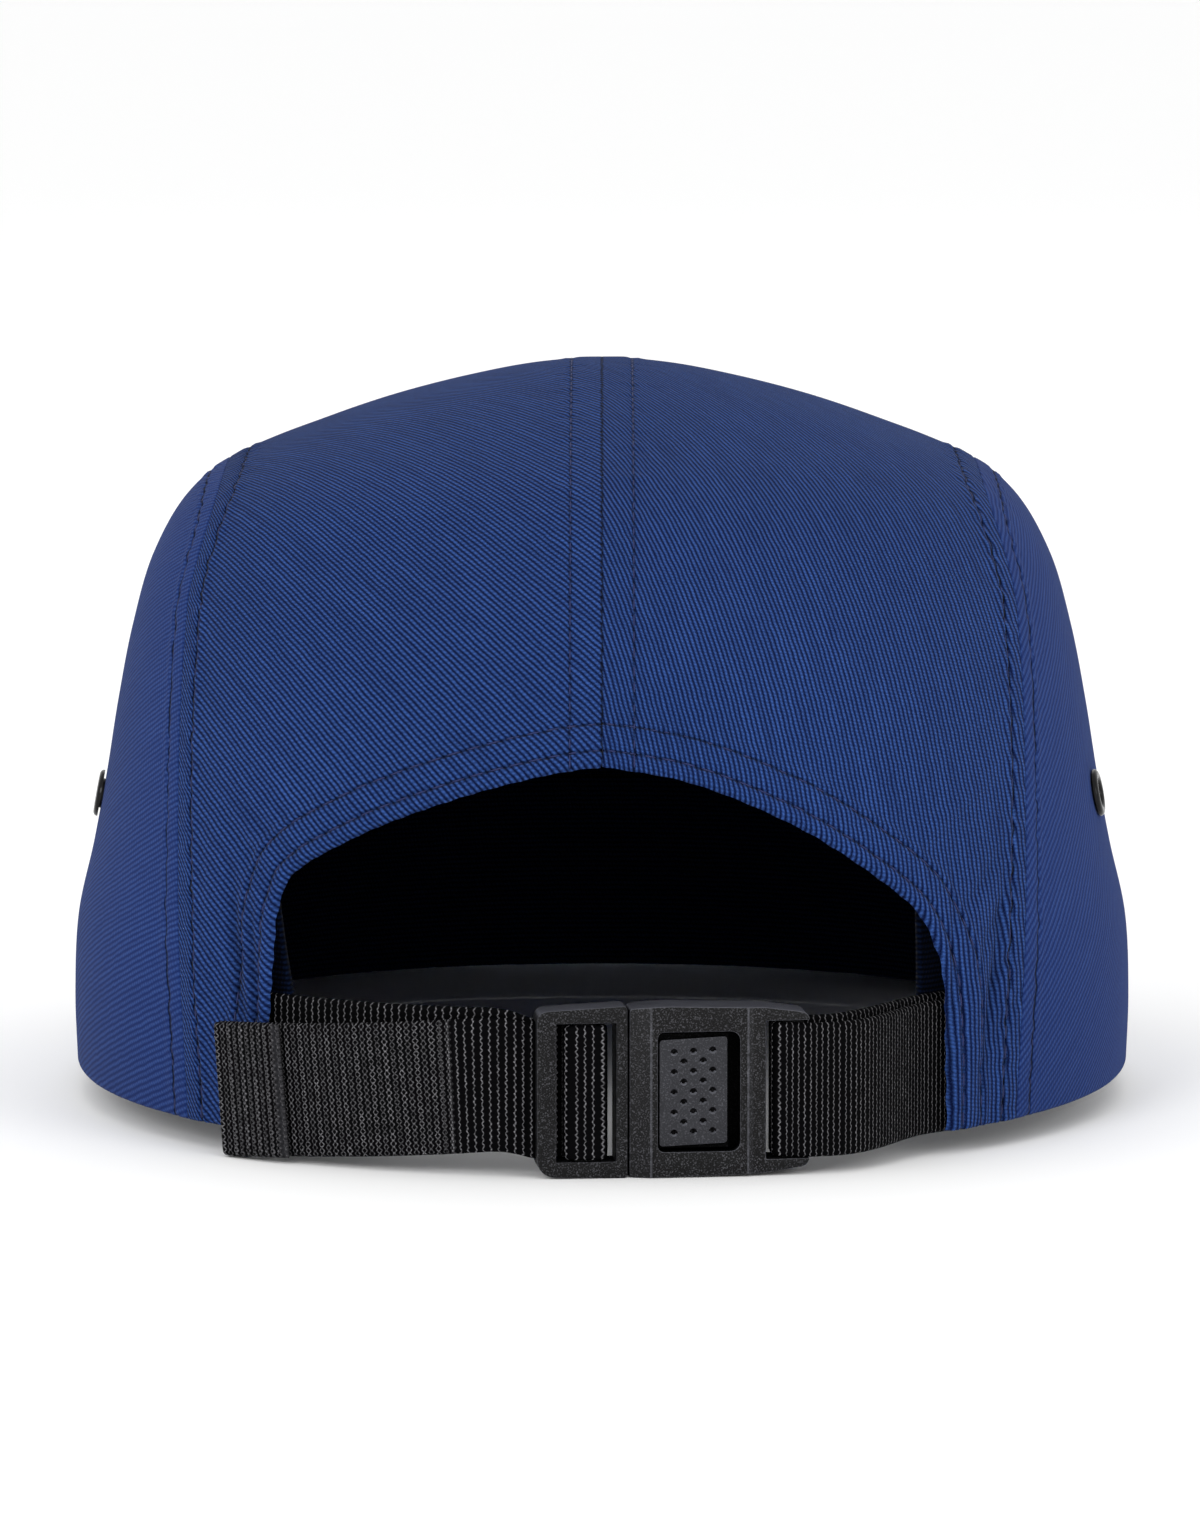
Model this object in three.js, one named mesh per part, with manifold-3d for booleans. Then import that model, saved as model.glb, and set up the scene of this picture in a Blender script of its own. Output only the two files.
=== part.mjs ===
// Five panel cap in cotton twill, whose arched back opening is closed by a webbing strap with a push
// button buckle.
// Millimetres. In the cap's own frame x points to the wearer's left, y to the back and z up, with the
// rim at z = 0. The last group turns the cap by the small angle at which it rests on its peak and buckle.
import * as THREE from 'three';
import { mergeVertices } from 'three/addons/utils/BufferGeometryUtils.js';
import Module from 'manifold-3d';

const wasm = await Module();
wasm.setup();

// Crown
const crownHeight = 109;
const crownHalfWidth = 83;
const crownHalfLength = 98;
const crownFullness = 2.15;
const wall = 1.5;
const clearance = 0.3;
const crownSpokes = 56;
const crownRings = 18;

// Level rings of the crown from the rim to the top, as shares of its height, half width and half length.
// shift moves a ring's middle towards the back, as a share of the half length.
const crownRows = [
  { height: 0.0, width: 0.996, length: 0.998, shift: 0.0 },
  { height: 0.101, width: 1.0, length: 1.0, shift: 0.0 },
  { height: 0.211, width: 0.993, length: 0.994, shift: -0.003 },
  { height: 0.312, width: 0.964, length: 0.977, shift: -0.01 },
  { height: 0.413, width: 0.939, length: 0.954, shift: -0.015 },
  { height: 0.518, width: 0.917, length: 0.921, shift: -0.024 },
  { height: 0.624, width: 0.89, length: 0.867, shift: -0.04 },
  { height: 0.725, width: 0.851, length: 0.787, shift: -0.058 },
  { height: 0.812, width: 0.782, length: 0.688, shift: -0.068 },
  { height: 0.867, width: 0.675, length: 0.595, shift: -0.07 },
  { height: 0.908, width: 0.542, length: 0.493, shift: -0.072 },
  { height: 0.943, width: 0.41, length: 0.383, shift: -0.073 },
  { height: 0.972, width: 0.269, length: 0.26, shift: -0.075 },
  { height: 0.993, width: 0.133, length: 0.13, shift: -0.077 },
  { height: 1.0, width: 0.0, length: 0.0, shift: -0.078 },
];

// Seams: the side seams by height, as a share of the crown's half width, and the leaning front seam
const sideSeamRows = [
  { height: -0.2, across: 0.748 },
  { height: 0.0, across: 0.751 },
  { height: 0.33, across: 0.771 },
  { height: 0.69, across: 0.763 },
  { height: 0.87, across: 0.705 },
  { height: 1.2, across: 0.69 },
];
const frontSeamAtRim = 46;
const frontSeamLean = 8;

// Arched back opening: half widths to the wearer's left and right by height, as shares of the two sizes
const archHeight = 56;
const archHalfWidth = 52;
const archRows = [
  { height: -0.4, left: 0.985, right: 1.0 },
  { height: 0.0, left: 0.98, right: 1.0 },
  { height: 0.2, left: 0.967, right: 0.998 },
  { height: 0.4, left: 0.954, right: 0.988 },
  { height: 0.5, left: 0.946, right: 0.962 },
  { height: 0.6, left: 0.935, right: 0.904 },
  { height: 0.7, left: 0.885, right: 0.781 },
  { height: 0.8, left: 0.715, right: 0.629 },
  { height: 0.87, left: 0.55, right: 0.492 },
  { height: 0.93, left: 0.369, right: 0.346 },
  { height: 0.97, left: 0.212, right: 0.215 },
  { height: 0.99, left: 0.106, right: 0.096 },
  { height: 1.0, left: 0.0, right: 0.0 },
];

// Sweatband
const bandHeight = 35;
const bandThickness = 1.2;
const bandClearance = 0.5;
const bandEndLeft = archHalfWidth - 6;
const bandEndRight = archHalfWidth - 5;
const bandEndSlant = 3;
const bandEaseShare = 0.2;
const bandColumns = 64;
const bandRows = 3;

// Peak
const peakLength = 66;
const peakHalfWidth = 79;
const peakThickness = 3;
const peakFullness = 2.35;
const peakSideDrop = 11;
const peakFrontDrop = 3;
const peakLevel = 2;
const peakColumns = 32;
const peakRows = 6;

// Webbing
const webbingWidth = 20;
const webbingThickness = 1.4;
const webbingBend = 1;
const sharpBend = 0.5;
const bendPoints = 4;
const mitreFloor = 0.6;
const strapClearance = 0.8;
const layerPitch = webbingThickness + clearance;
const strapHiddenX = archHalfWidth + 10;
const tailTipX = archHalfWidth + 4;
const tailFold = 8;
const tailDroop = THREE.MathUtils.degToRad(3.6);
const strapRise = 0.8;
const loopFrontRise = 0.4;
const hemLead = 1;
const buckleLead = 2;

// Buckle, in its own frame: x to the wearer's right, -y outwards, z up
const buckleX = -10.3;
const buckleLevel = 9.4;
const buckleStandOff = -0.6;
const buckleHeight = 25.6;
const buckleEdge = 0.5;
const smallCorner = 1.1;
const railCorner = 1.5;
const joinDepth = 0.5;
const cutOver = 1;
const slotHeight = 20.6;
const webbingShift = 0.25;
const clipLength = 13.7;
const clipFront = 3;
const clipBack = 2.8;
const clipSlotLeft = 2.8;
const clipSlotRight = 1.6;
const clipBar = 3.2;
const clipBarDepth = 2.2;
const clipTaper = 0.7;
const clipUpperCorner = 1.7;
const clipLowerCorner = 2.5;
const halfGap = 0.35;
const socketBody = 20.2;
const socketRails = 6.6;
const socketFront = 3.75;
const socketBack = 3.4;
const socketTaper = 1.4;
const socketBar = 3.2;
const socketBarDepth = 2.6;
const seeThrough = 0.9;
const windowLength = 12.2;
const windowHeight = 17.8;
const windowFromHalves = 4.1;
const windowEdge = 0.3;
const bridge = 1.4;
const tongueThickness = 3.6;
const tongueHeight = 17;
const padLength = 10;
const padHeight = 15.8;
const padSunk = 0.45;
const padEdge = 0.25;
const padRoot = 0.8;
const dimpleRadius = 0.52;
const dimpleFloorShare = 0.55;
const dimpleDepth = 0.35;
const dimpleSides = 8;
const dimpleColumns = 5;
const dimpleRowsLong = 5;
const dimpleColumnPitch = 1.43;
const dimpleRowPitch = 3;

// Eyelets, whose flange is given as shares of its radius and of its dome's height
const eyeletRadius = 3.7;
const eyeletBore = 2;
const eyeletBarrel = 2.35;
const eyeletDome = 0.75;
const eyeletLeftLevel = 41.8;
const eyeletLeftY = 6;
const eyeletRightLevel = 43.6;
const eyeletRightY = 20;
const eyeletSides = 20;
const flangeRows = [
  { radius: 1.0, rise: 0.0 },
  { radius: 1.0, rise: 0.25 },
  { radius: 0.9, rise: 0.75 },
  { radius: 0.72, rise: 1.0 },
  { radius: 0.6, rise: 0.8 },
];

const twillBlue = { color: 0x294272, roughness: 0.85, metalness: 0 };
const webbingBlack = { color: 0x232325, roughness: 0.8, metalness: 0 };
const plasticBlack = { color: 0x2a2a2c, roughness: 0.5, metalness: 0 };
const metalBlack = { color: 0x101012, roughness: 0.25, metalness: 0.6 };

// Smooth value of one column of a table at a place counted in rows.
// even tells how the column goes on past the last row.
function smoothValue(rows, column, place, even) {
  const last = rows.length - 1;
  const at = (index) => {
    if (index < 0) return 2 * rows[0][column] - rows[1][column];
    if (index <= last) return rows[index][column];
    const mirrored = rows[2 * last - index][column];
    return even ? mirrored : 2 * rows[last][column] - mirrored;
  };
  const index = Math.min(Math.max(Math.floor(place), 0), last - 1);
  const t = place - index;
  const [p0, p1, p2, p3] = [at(index - 1), at(index), at(index + 1), at(index + 2)];
  const slopeIn = (p2 - p0) / 2;
  const slopeOut = (p3 - p1) / 2;
  const t2 = t * t;
  const t3 = t2 * t;
  const fromIn = (2 * t3 - 3 * t2 + 1) * p1 + (t3 - 2 * t2 + t) * slopeIn;
  const fromOut = (3 * t2 - 2 * t3) * p2 + (t3 - t2) * slopeOut;
  return fromIn + fromOut;
}

// Superellipse radius factor at an angle
function roundness(angle, fullness) {
  const sum = Math.abs(Math.cos(angle)) ** fullness + Math.abs(Math.sin(angle)) ** fullness;
  return sum ** (-1 / fullness);
}

// Point of the crown's outer surface. share runs from 0 at the rim to 1 at the top.
function crownPoint(angle, share) {
  const place = share * (crownRows.length - 1);
  const width = crownHalfWidth * smoothValue(crownRows, 'width', place, false);
  const length = crownHalfLength * smoothValue(crownRows, 'length', place, false);
  const shift = crownHalfLength * smoothValue(crownRows, 'shift', place, true);
  const height = crownHeight * smoothValue(crownRows, 'height', place, true);
  const radius = roundness(angle, crownFullness);
  const x = width * radius * Math.cos(angle);
  const y = shift + length * radius * Math.sin(angle);
  return new THREE.Vector3(x, y, height);
}

// Outward normal of a surface given as a function of two parameters
function surfaceNormal(surface, u, v, step = 1e-3) {
  const low = Math.min(v, 1 - 2 * step);
  const alongU = surface(u + step, low).sub(surface(u - step, low));
  const alongV = surface(u, low + step).sub(surface(u, low - step));
  return alongU.cross(alongV).normalize();
}

// Share at which the crown reaches a height
function crownShareAt(height) {
  let low = 0;
  let high = 1;
  for (let round = 0; round < 40; round += 1) {
    const middle = (low + high) / 2;
    if (crownPoint(0, middle).z < height) low = middle;
    else high = middle;
  }
  return (low + high) / 2;
}

// Geometry with its doubled points joined and its flat triangles left out
function welded(geometry) {
  geometry.deleteAttribute('normal');
  geometry.deleteAttribute('uv');
  const merged = mergeVertices(geometry, 1e-4);
  const index = merged.index.array;
  const kept = [];
  for (let i = 0; i < index.length; i += 3) {
    const [a, b, c] = [index[i], index[i + 1], index[i + 2]];
    if (a !== b && b !== c && c !== a) kept.push(a, b, c);
  }
  merged.setIndex(kept);
  return merged;
}

function toManifold(geometry) {
  const merged = welded(geometry);
  const vertProperties = new Float32Array(merged.attributes.position.array);
  const triVerts = new Uint32Array(merged.index.array);
  return new wasm.Manifold(new wasm.Mesh({ numProp: 3, vertProperties, triVerts }));
}

function fromManifold(solid) {
  const mesh = solid.getMesh();
  const geometry = new THREE.BufferGeometry();
  geometry.setAttribute('position', new THREE.BufferAttribute(new Float32Array(mesh.vertProperties), 3));
  geometry.setIndex(new THREE.BufferAttribute(new Uint32Array(mesh.triVerts), 1));
  geometry.computeVertexNormals();
  return geometry;
}

// Indexed geometry from lists of points and triangles
function indexedGeometry(points, triangles) {
  const geometry = new THREE.BufferGeometry();
  const numbers = points.flatMap((point) => [point.x, point.y, point.z]);
  geometry.setAttribute('position', new THREE.Float32BufferAttribute(numbers, 3));
  geometry.setIndex(triangles.flat());
  return geometry;
}

// Closed sheet between two offsets of a surface. A ring joins its first and last column, and at a pole
// its last row is one point.
function sheet(surface, { columns, rows, outer, inner, ring, pole }) {
  const points = [];
  const across = ring ? columns : columns + 1;
  const layers = [outer, inner];
  for (const offset of layers) {
    for (let j = 0; j <= rows; j += 1) {
      for (let i = 0; i < across; i += 1) {
        const u = i / columns;
        const v = j / rows;
        const base = surface(u, v);
        const distance = typeof offset === 'function' ? offset(base) : offset;
        const atPole = pole && j === rows;
        const normal = atPole ? new THREE.Vector3(0, 0, 1) : surfaceNormal(surface, u, v);
        points.push(base.addScaledVector(normal, distance));
      }
    }
  }
  const layerSize = across * (rows + 1);
  const at = (layer, i, j) => layer * layerSize + j * across + (ring ? i % columns : i);
  const triangles = [];
  const quad = (a, b, c, d) => triangles.push([a, b, c], [a, c, d]);
  for (let j = 0; j < rows; j += 1) {
    for (let i = 0; i < columns; i += 1) {
      quad(at(0, i, j), at(0, i + 1, j), at(0, i + 1, j + 1), at(0, i, j + 1));
      quad(at(1, i, j), at(1, i, j + 1), at(1, i + 1, j + 1), at(1, i + 1, j));
    }
  }
  for (let i = 0; i < columns; i += 1) {
    quad(at(1, i, 0), at(1, i + 1, 0), at(0, i + 1, 0), at(0, i, 0));
    quad(at(0, i, rows), at(0, i + 1, rows), at(1, i + 1, rows), at(1, i, rows));
  }
  if (!ring) {
    for (let j = 0; j < rows; j += 1) {
      quad(at(1, 0, j), at(0, 0, j), at(0, 0, j + 1), at(1, 0, j + 1));
      quad(at(0, columns, j), at(1, columns, j), at(1, columns, j + 1), at(0, columns, j + 1));
    }
  }
  return indexedGeometry(points, triangles);
}

function shapeOf(pairs) {
  return new THREE.Shape(pairs.map(([x, y]) => new THREE.Vector2(x, y)));
}

// Prism of an outline in x and z, from the depth y = from to y = to
function prismAlongY(shape, from, to) {
  const geometry = new THREE.ExtrudeGeometry(shape, { depth: to - from, bevelEnabled: false });
  geometry.rotateX(Math.PI / 2);
  geometry.translate(0, to, 0);
  return toManifold(geometry);
}

// Prism of an outline in y and z, across the whole width
function prismAlongX(shape, halfSpan) {
  const geometry = new THREE.ExtrudeGeometry(shape, { depth: 2 * halfSpan, bevelEnabled: false });
  geometry.rotateX(Math.PI / 2);
  geometry.rotateZ(Math.PI / 2);
  geometry.translate(-halfSpan, 0, 0);
  return toManifold(geometry);
}

function block(x0, x1, y0, y1, z0, z1) {
  const geometry = new THREE.BoxGeometry(x1 - x0, y1 - y0, z1 - z0);
  geometry.translate((x0 + x1) / 2, (y0 + y1) / 2, (z0 + z1) / 2);
  return toManifold(geometry);
}

const reach = 1.5 * (crownHalfLength + peakLength);

// Panels

// Region in front of or behind the front seam, held back from it by half the clearance
function frontRegion(front) {
  const shift = front ? -clearance / 2 : clearance / 2;
  const far = front ? -reach : reach;
  const seamY = (height) => -frontSeamAtRim - (frontSeamLean * height) / crownHeight + shift;
  const outline = shapeOf([[seamY(-reach), -reach], [seamY(reach), reach], [far, reach], [far, -reach]]);
  return prismAlongX(outline, reach);
}

// Region on the outer or inner side of one side seam
function sideRegion(side, outer) {
  const shift = outer ? clearance / 2 : -clearance / 2;
  const seamX = (row) => side * (crownHalfWidth * row.across + shift);
  const edge = sideSeamRows.map((row) => [seamX(row), crownHeight * row.height]);
  const far = outer ? side * reach : (side * clearance) / 2;
  const bottom = edge[0][1];
  const top = edge[edge.length - 1][1];
  return prismAlongY(shapeOf([...edge, [far, top], [far, bottom]]), -reach, reach);
}

// Tool that cuts the arched opening through the back
function archTool() {
  const left = archRows.map((row) => [archHalfWidth * row.left, archHeight * row.height]);
  const right = archRows.map((row) => [-archHalfWidth * row.right, archHeight * row.height]).reverse();
  return prismAlongY(shapeOf([...left, ...right.slice(1)]), 0, reach);
}

const crownSurface = (u, v) => crownPoint(2 * Math.PI * u, v);

function crownShell() {
  const grid = { columns: crownSpokes, rows: crownRings, ring: true, pole: true };
  return toManifold(sheet(crownSurface, { ...grid, outer: 0, inner: -wall }));
}

// Place and direction of an eyelet on a side panel
function eyeletSeat(side, y, level) {
  const share = crownShareAt(level);
  let low = 0;
  let high = Math.PI / 2;
  for (let round = 0; round < 40; round += 1) {
    const middle = (low + high) / 2;
    if (crownPoint(middle, share).y < y) low = middle;
    else high = middle;
  }
  const angle = side > 0 ? low : Math.PI - low;
  const centre = crownPoint(angle, share);
  const normal = surfaceNormal(crownSurface, angle / (2 * Math.PI), share);
  return { centre, turn: new THREE.Quaternion().setFromUnitVectors(new THREE.Vector3(0, 1, 0), normal) };
}

function eyeletHole(seat) {
  const radius = eyeletBarrel + clearance;
  const geometry = new THREE.CylinderGeometry(radius, radius, 8 * wall, eyeletSides);
  geometry.applyQuaternion(seat.turn);
  geometry.translate(seat.centre.x, seat.centre.y, seat.centre.z);
  return toManifold(geometry);
}

function eyelet(seat) {
  const end = -wall - clearance - eyeletDome / 2;
  const profile = [
    [eyeletBore, end],
    [eyeletBarrel, end],
    [eyeletBarrel, clearance],
    ...flangeRows.map((row) => [row.radius * eyeletRadius, clearance + row.rise * eyeletDome]),
    [eyeletBore, clearance],
    [eyeletBore, end],
  ];
  const outline = profile.map(([radius, rise]) => new THREE.Vector2(radius, rise));
  const geometry = new THREE.LatheGeometry(outline, eyeletSides);
  geometry.applyQuaternion(seat.turn);
  geometry.translate(seat.centre.x, seat.centre.y, seat.centre.z);
  return toManifold(geometry);
}

// Sweatband, which steps inwards at its ends to leave room for the webbing between it and the panels

// Layers of webbing inside the cap on one side
function webbingLayers(side) {
  return side > 0 ? 1 : 2;
}

function bandOffset(point) {
  const easeStart = strapHiddenX + hemLead;
  const easeEnd = easeStart + bandEaseShare * strapHiddenX;
  const away = THREE.MathUtils.smoothstep(Math.abs(point.x), easeStart, easeEnd);
  const layers = webbingLayers(Math.sign(point.x));
  const room = point.y > 0 ? layers * layerPitch + 2 * strapClearance - clearance - bandClearance : 0;
  return -(wall + bandClearance + room * (1 - away));
}

function sweatband() {
  const top = crownShareAt(bandHeight);
  const surface = (u, v) => crownPoint(2 * Math.PI * u, v * top);
  const outer = (point) => bandOffset(point);
  const inner = (point) => bandOffset(point) - bandThickness;
  const grid = { columns: bandColumns, rows: bandRows, outer, inner, ring: true };
  const ring = toManifold(sheet(surface, grid));
  const low = -bandHeight;
  const high = 2 * bandHeight;
  const gap = shapeOf([
    [bandEndLeft, low],
    [bandEndLeft, webbingWidth],
    [bandEndLeft + bandEndSlant, bandHeight + wall],
    [bandEndLeft + bandEndSlant, high],
    [-bandEndRight, high],
    [-bandEndRight, low],
  ]);
  return ring.subtract(prismAlongY(gap, 0, reach));
}

// Peak: a curved board from the rim to a rounded outer edge

function peakPlan(u, v) {
  const start = Math.asin(Math.min(1, frontSeamAtRim / crownHalfLength));
  const angle = -start - u * (Math.PI - 2 * start);
  const inner = crownPoint(angle, 0);
  const away = new THREE.Vector3(inner.x / crownHalfWidth, inner.y / crownHalfLength, 0).normalize();
  inner.addScaledVector(away, 2 * clearance);
  const turn = -u * Math.PI;
  const radius = roundness(turn, peakFullness);
  const depth = crownHalfLength - frontSeamAtRim + peakLength;
  const outer = new THREE.Vector3(
    peakHalfWidth * radius * Math.cos(turn),
    -frontSeamAtRim + depth * radius * Math.sin(turn),
    0,
  );
  const span = inner.distanceTo(outer);
  const plan = inner.lerp(outer, v);
  const sag = peakSideDrop * (plan.x / peakHalfWidth) ** 2 + peakFrontDrop;
  plan.z = peakLevel - ((v * span) / peakLength) * sag;
  return plan;
}

function peak() {
  const half = peakThickness / 2;
  const grid = { columns: peakColumns, rows: peakRows, outer: half, inner: -half, ring: false };
  return toManifold(sheet(peakPlan, grid));
}

// Straps

// Level line of the crown at the straps: a point and the outward direction at a given x
function rimAt(x) {
  const share = crownShareAt(buckleLevel);
  const width = crownPoint(0, share).x;
  const length = crownPoint(Math.PI / 2, share).y;
  const ratio = Math.min(Math.abs(x) / width, 0.98);
  const y = length * (1 - ratio ** crownFullness) ** (1 / crownFullness);
  const slopeX = (Math.sign(x) * ratio ** (crownFullness - 1)) / width;
  const slopeY = (y / length) ** (crownFullness - 1) / length;
  return { point: new THREE.Vector2(x, y), outward: new THREE.Vector2(slopeX, slopeY).normalize() };
}

function alongRim(x, out) {
  const { point, outward } = rimAt(x);
  return point.addScaledVector(outward, out);
}

// Distance of a plan point outside the level line
function outsideRim(plan) {
  const { point, outward } = rimAt(plan.x);
  return (plan.y - point.y) * outward.y;
}

const buckleSeat = alongRim(buckleX, buckleStandOff);
const buckleAhead = alongRim(buckleX - 1, buckleStandOff).sub(buckleSeat);
const buckleTurn = Math.atan2(buckleAhead.y, buckleAhead.x);

// Plan point of a place in the buckle's frame
function fromBuckle(x, out) {
  return new THREE.Vector2(x, -out).rotateAround(new THREE.Vector2(0, 0), buckleTurn).add(buckleSeat);
}

const upright = new THREE.Vector2(0, 0);

// Rounds the corners of a plan line whose stations carry a height and the way their top edge leans
function roundCorners(stations, radius) {
  const rounded = [stations[0]];
  for (let i = 1; i < stations.length - 1; i += 1) {
    const here = stations[i];
    const before = stations[i - 1].plan.clone().sub(here.plan);
    const after = stations[i + 1].plan.clone().sub(here.plan);
    if (Math.PI - before.angleTo(after) < sharpBend) {
      rounded.push(here);
    } else {
      const cut = Math.min(radius, before.length() / 2, after.length() / 2);
      const start = here.plan.clone().addScaledVector(before.normalize(), cut);
      const end = here.plan.clone().addScaledVector(after.normalize(), cut);
      const curve = new THREE.QuadraticBezierCurve(start, here.plan, end);
      curve.getPoints(bendPoints).forEach((plan) => rounded.push({ ...here, plan }));
    }
  }
  rounded.push(stations[stations.length - 1]);
  return rounded;
}

// Flat band of webbing on edge along a plan line
function ribbon(stations) {
  const points = [];
  const last = stations.length - 1;
  stations.forEach(({ plan, z, lean }, i) => {
    const before = stations[Math.max(i - 1, 0)].plan;
    const after = stations[Math.min(i + 1, last)].plan;
    const into = plan.clone().sub(before).normalize();
    const outOf = after.clone().sub(plan).normalize();
    const tangent = into.add(outOf).normalize();
    const mitre = i > 0 && i < last ? 1 / Math.max(mitreFloor, tangent.dot(outOf)) : 1;
    const half = (webbingThickness / 2) * mitre;
    const side = new THREE.Vector2(-tangent.y, tangent.x).multiplyScalar(half);
    const up = Math.sqrt(1 - lean.lengthSq()) * (webbingWidth / 2);
    const along = lean.clone().multiplyScalar(webbingWidth / 2);
    for (const [s, w] of [[1, 1], [1, -1], [-1, -1], [-1, 1]]) {
      const corner = plan.clone().addScaledVector(side, s).addScaledVector(along, w);
      points.push(new THREE.Vector3(corner.x, corner.y, z + w * up));
    }
  });
  const triangles = [];
  for (let i = 0; i < last; i += 1) {
    for (let k = 0; k < 4; k += 1) {
      const [a, b] = [4 * i + k, 4 * i + ((k + 1) % 4)];
      triangles.push([a, a + 4, b + 4], [a, b + 4, b]);
    }
  }
  const end = 4 * last;
  triangles.push([0, 1, 2], [0, 2, 3], [end, end + 2, end + 1], [end, end + 3, end + 2]);
  return toManifold(indexedGeometry(points, triangles));
}

const underPanel = -(wall + strapClearance + webbingThickness / 2);
const overPanel = strapClearance + webbingThickness / 2;

// Stations along the rim from one x to another, with the distance outwards going over smoothly
function rimStations({ fromX, toX, fromOut, toOut, count, height, droop }) {
  return Array.from({ length: count + 1 }, (_, i) => {
    const t = i / count;
    const x = THREE.MathUtils.lerp(fromX, toX, t);
    const out = THREE.MathUtils.lerp(fromOut, toOut, THREE.MathUtils.smoothstep(t, 0, 1));
    return { plan: alongRim(x, out), z: height(x), lean: droop ? leanAway(x, droop(x)) : upright };
  });
}

// Lean of a drooping strap's top edge, along the rim and away from the buckle
function leanAway(x, angle) {
  const { outward } = rimAt(x);
  return new THREE.Vector2(outward.y, -outward.x).multiplyScalar(Math.sin(angle));
}

// Places of the clip's bars along the buckle
const clipStart = -(clipLength + socketBody + socketRails) / 2;
const clipEnd = clipStart + clipLength - halfGap;
const clipLeftBarEnd = clipStart + clipSlotLeft;
const clipRightBar = clipEnd - clipSlotRight;
const clipBarStart = clipLeftBarEnd + 2 * clearance + webbingThickness + seeThrough;
const clipBarEnd = clipBarStart + clipBar;
const clipBarFront = clipFront - webbingThickness;
const wrapOut = clipBarFront + clearance + webbingThickness / 2;
const tailOut = clipFront - clipBarDepth - clearance - webbingThickness / 2;
const baseOut = tailOut - layerPitch;

const socketStart = clipStart + clipLength + halfGap;
const socketBodyEnd = clipStart + clipLength + socketBody;
const socketEnd = socketBodyEnd + socketRails;
const socketBarStart = socketBodyEnd + seeThrough + webbingThickness + clearance;
const socketBarEnd = socketBarStart + socketBar;
const loopOut = socketBarDepth / 2 + clearance + webbingThickness / 2;

function buckleStation(x, out, shift) {
  return { plan: fromBuckle(x, out), z: buckleLevel + shift, lean: upright };
}

function strapLeft() {
  const edgeX = archHalfWidth * archRows[2].left - hemLead;
  const entry = clipStart - buckleLead;
  const entryX = fromBuckle(entry, 0).x;
  const awayShare = (x) => THREE.MathUtils.clamp((x - entryX) / (edgeX - entryX), 0, 1);
  const baseHeight = (x) => buckleLevel + webbingShift + strapRise * awayShare(x);
  const tailHeight = (x) => buckleLevel - webbingShift - Math.tan(tailDroop) * Math.max(0, x - entryX);
  const droop = (x) => tailDroop * THREE.MathUtils.smoothstep(awayShare(x), 0, 0.5);
  const wrapRight = clipBarEnd + clearance + webbingThickness / 2;
  const wrapLeft = clipBarStart - clearance - webbingThickness / 2;
  const under = { fromOut: underPanel, toOut: underPanel };
  const hidden = { fromX: strapHiddenX, toX: edgeX + 2 * hemLead, ...under, count: 3 };
  const inwards = { fromX: edgeX, toX: entryX + hemLead, fromOut: underPanel, count: 6 };
  const outwards = { fromX: entryX + hemLead, toX: edgeX - 2 * hemLead, toOut: overPanel, count: 6 };
  const outside = { fromOut: overPanel, toOut: overPanel };
  const over = { fromX: edgeX, toX: tailTipX - webbingThickness, ...outside, count: 2 };
  const atTip = (x, out) => ({ plan: alongRim(x, out), z: tailHeight(x), lean: leanAway(x, tailDroop) });
  const baseEnd = outsideRim(fromBuckle(entry, baseOut));
  const tailStart = outsideRim(fromBuckle(entry, tailOut));
  const stations = [
    ...rimStations({ ...hidden, height: baseHeight }),
    ...rimStations({ ...inwards, toOut: baseEnd, height: baseHeight }),
    buckleStation(clipStart, baseOut, webbingShift),
    buckleStation(wrapRight, baseOut, 0),
    buckleStation(wrapRight, wrapOut, 0),
    buckleStation(wrapLeft, wrapOut, 0),
    buckleStation(wrapLeft, tailOut, 0),
    buckleStation(clipStart, tailOut, -webbingShift),
    ...rimStations({ ...outwards, fromOut: tailStart, height: tailHeight, droop }),
    ...rimStations({ ...over, height: tailHeight, droop }),
    atTip(tailTipX, overPanel),
    atTip(tailTipX, overPanel + layerPitch),
    atTip(tailTipX - tailFold, overPanel + layerPitch),
  ];
  return ribbon(roundCorners(stations, webbingBend));
}

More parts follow.
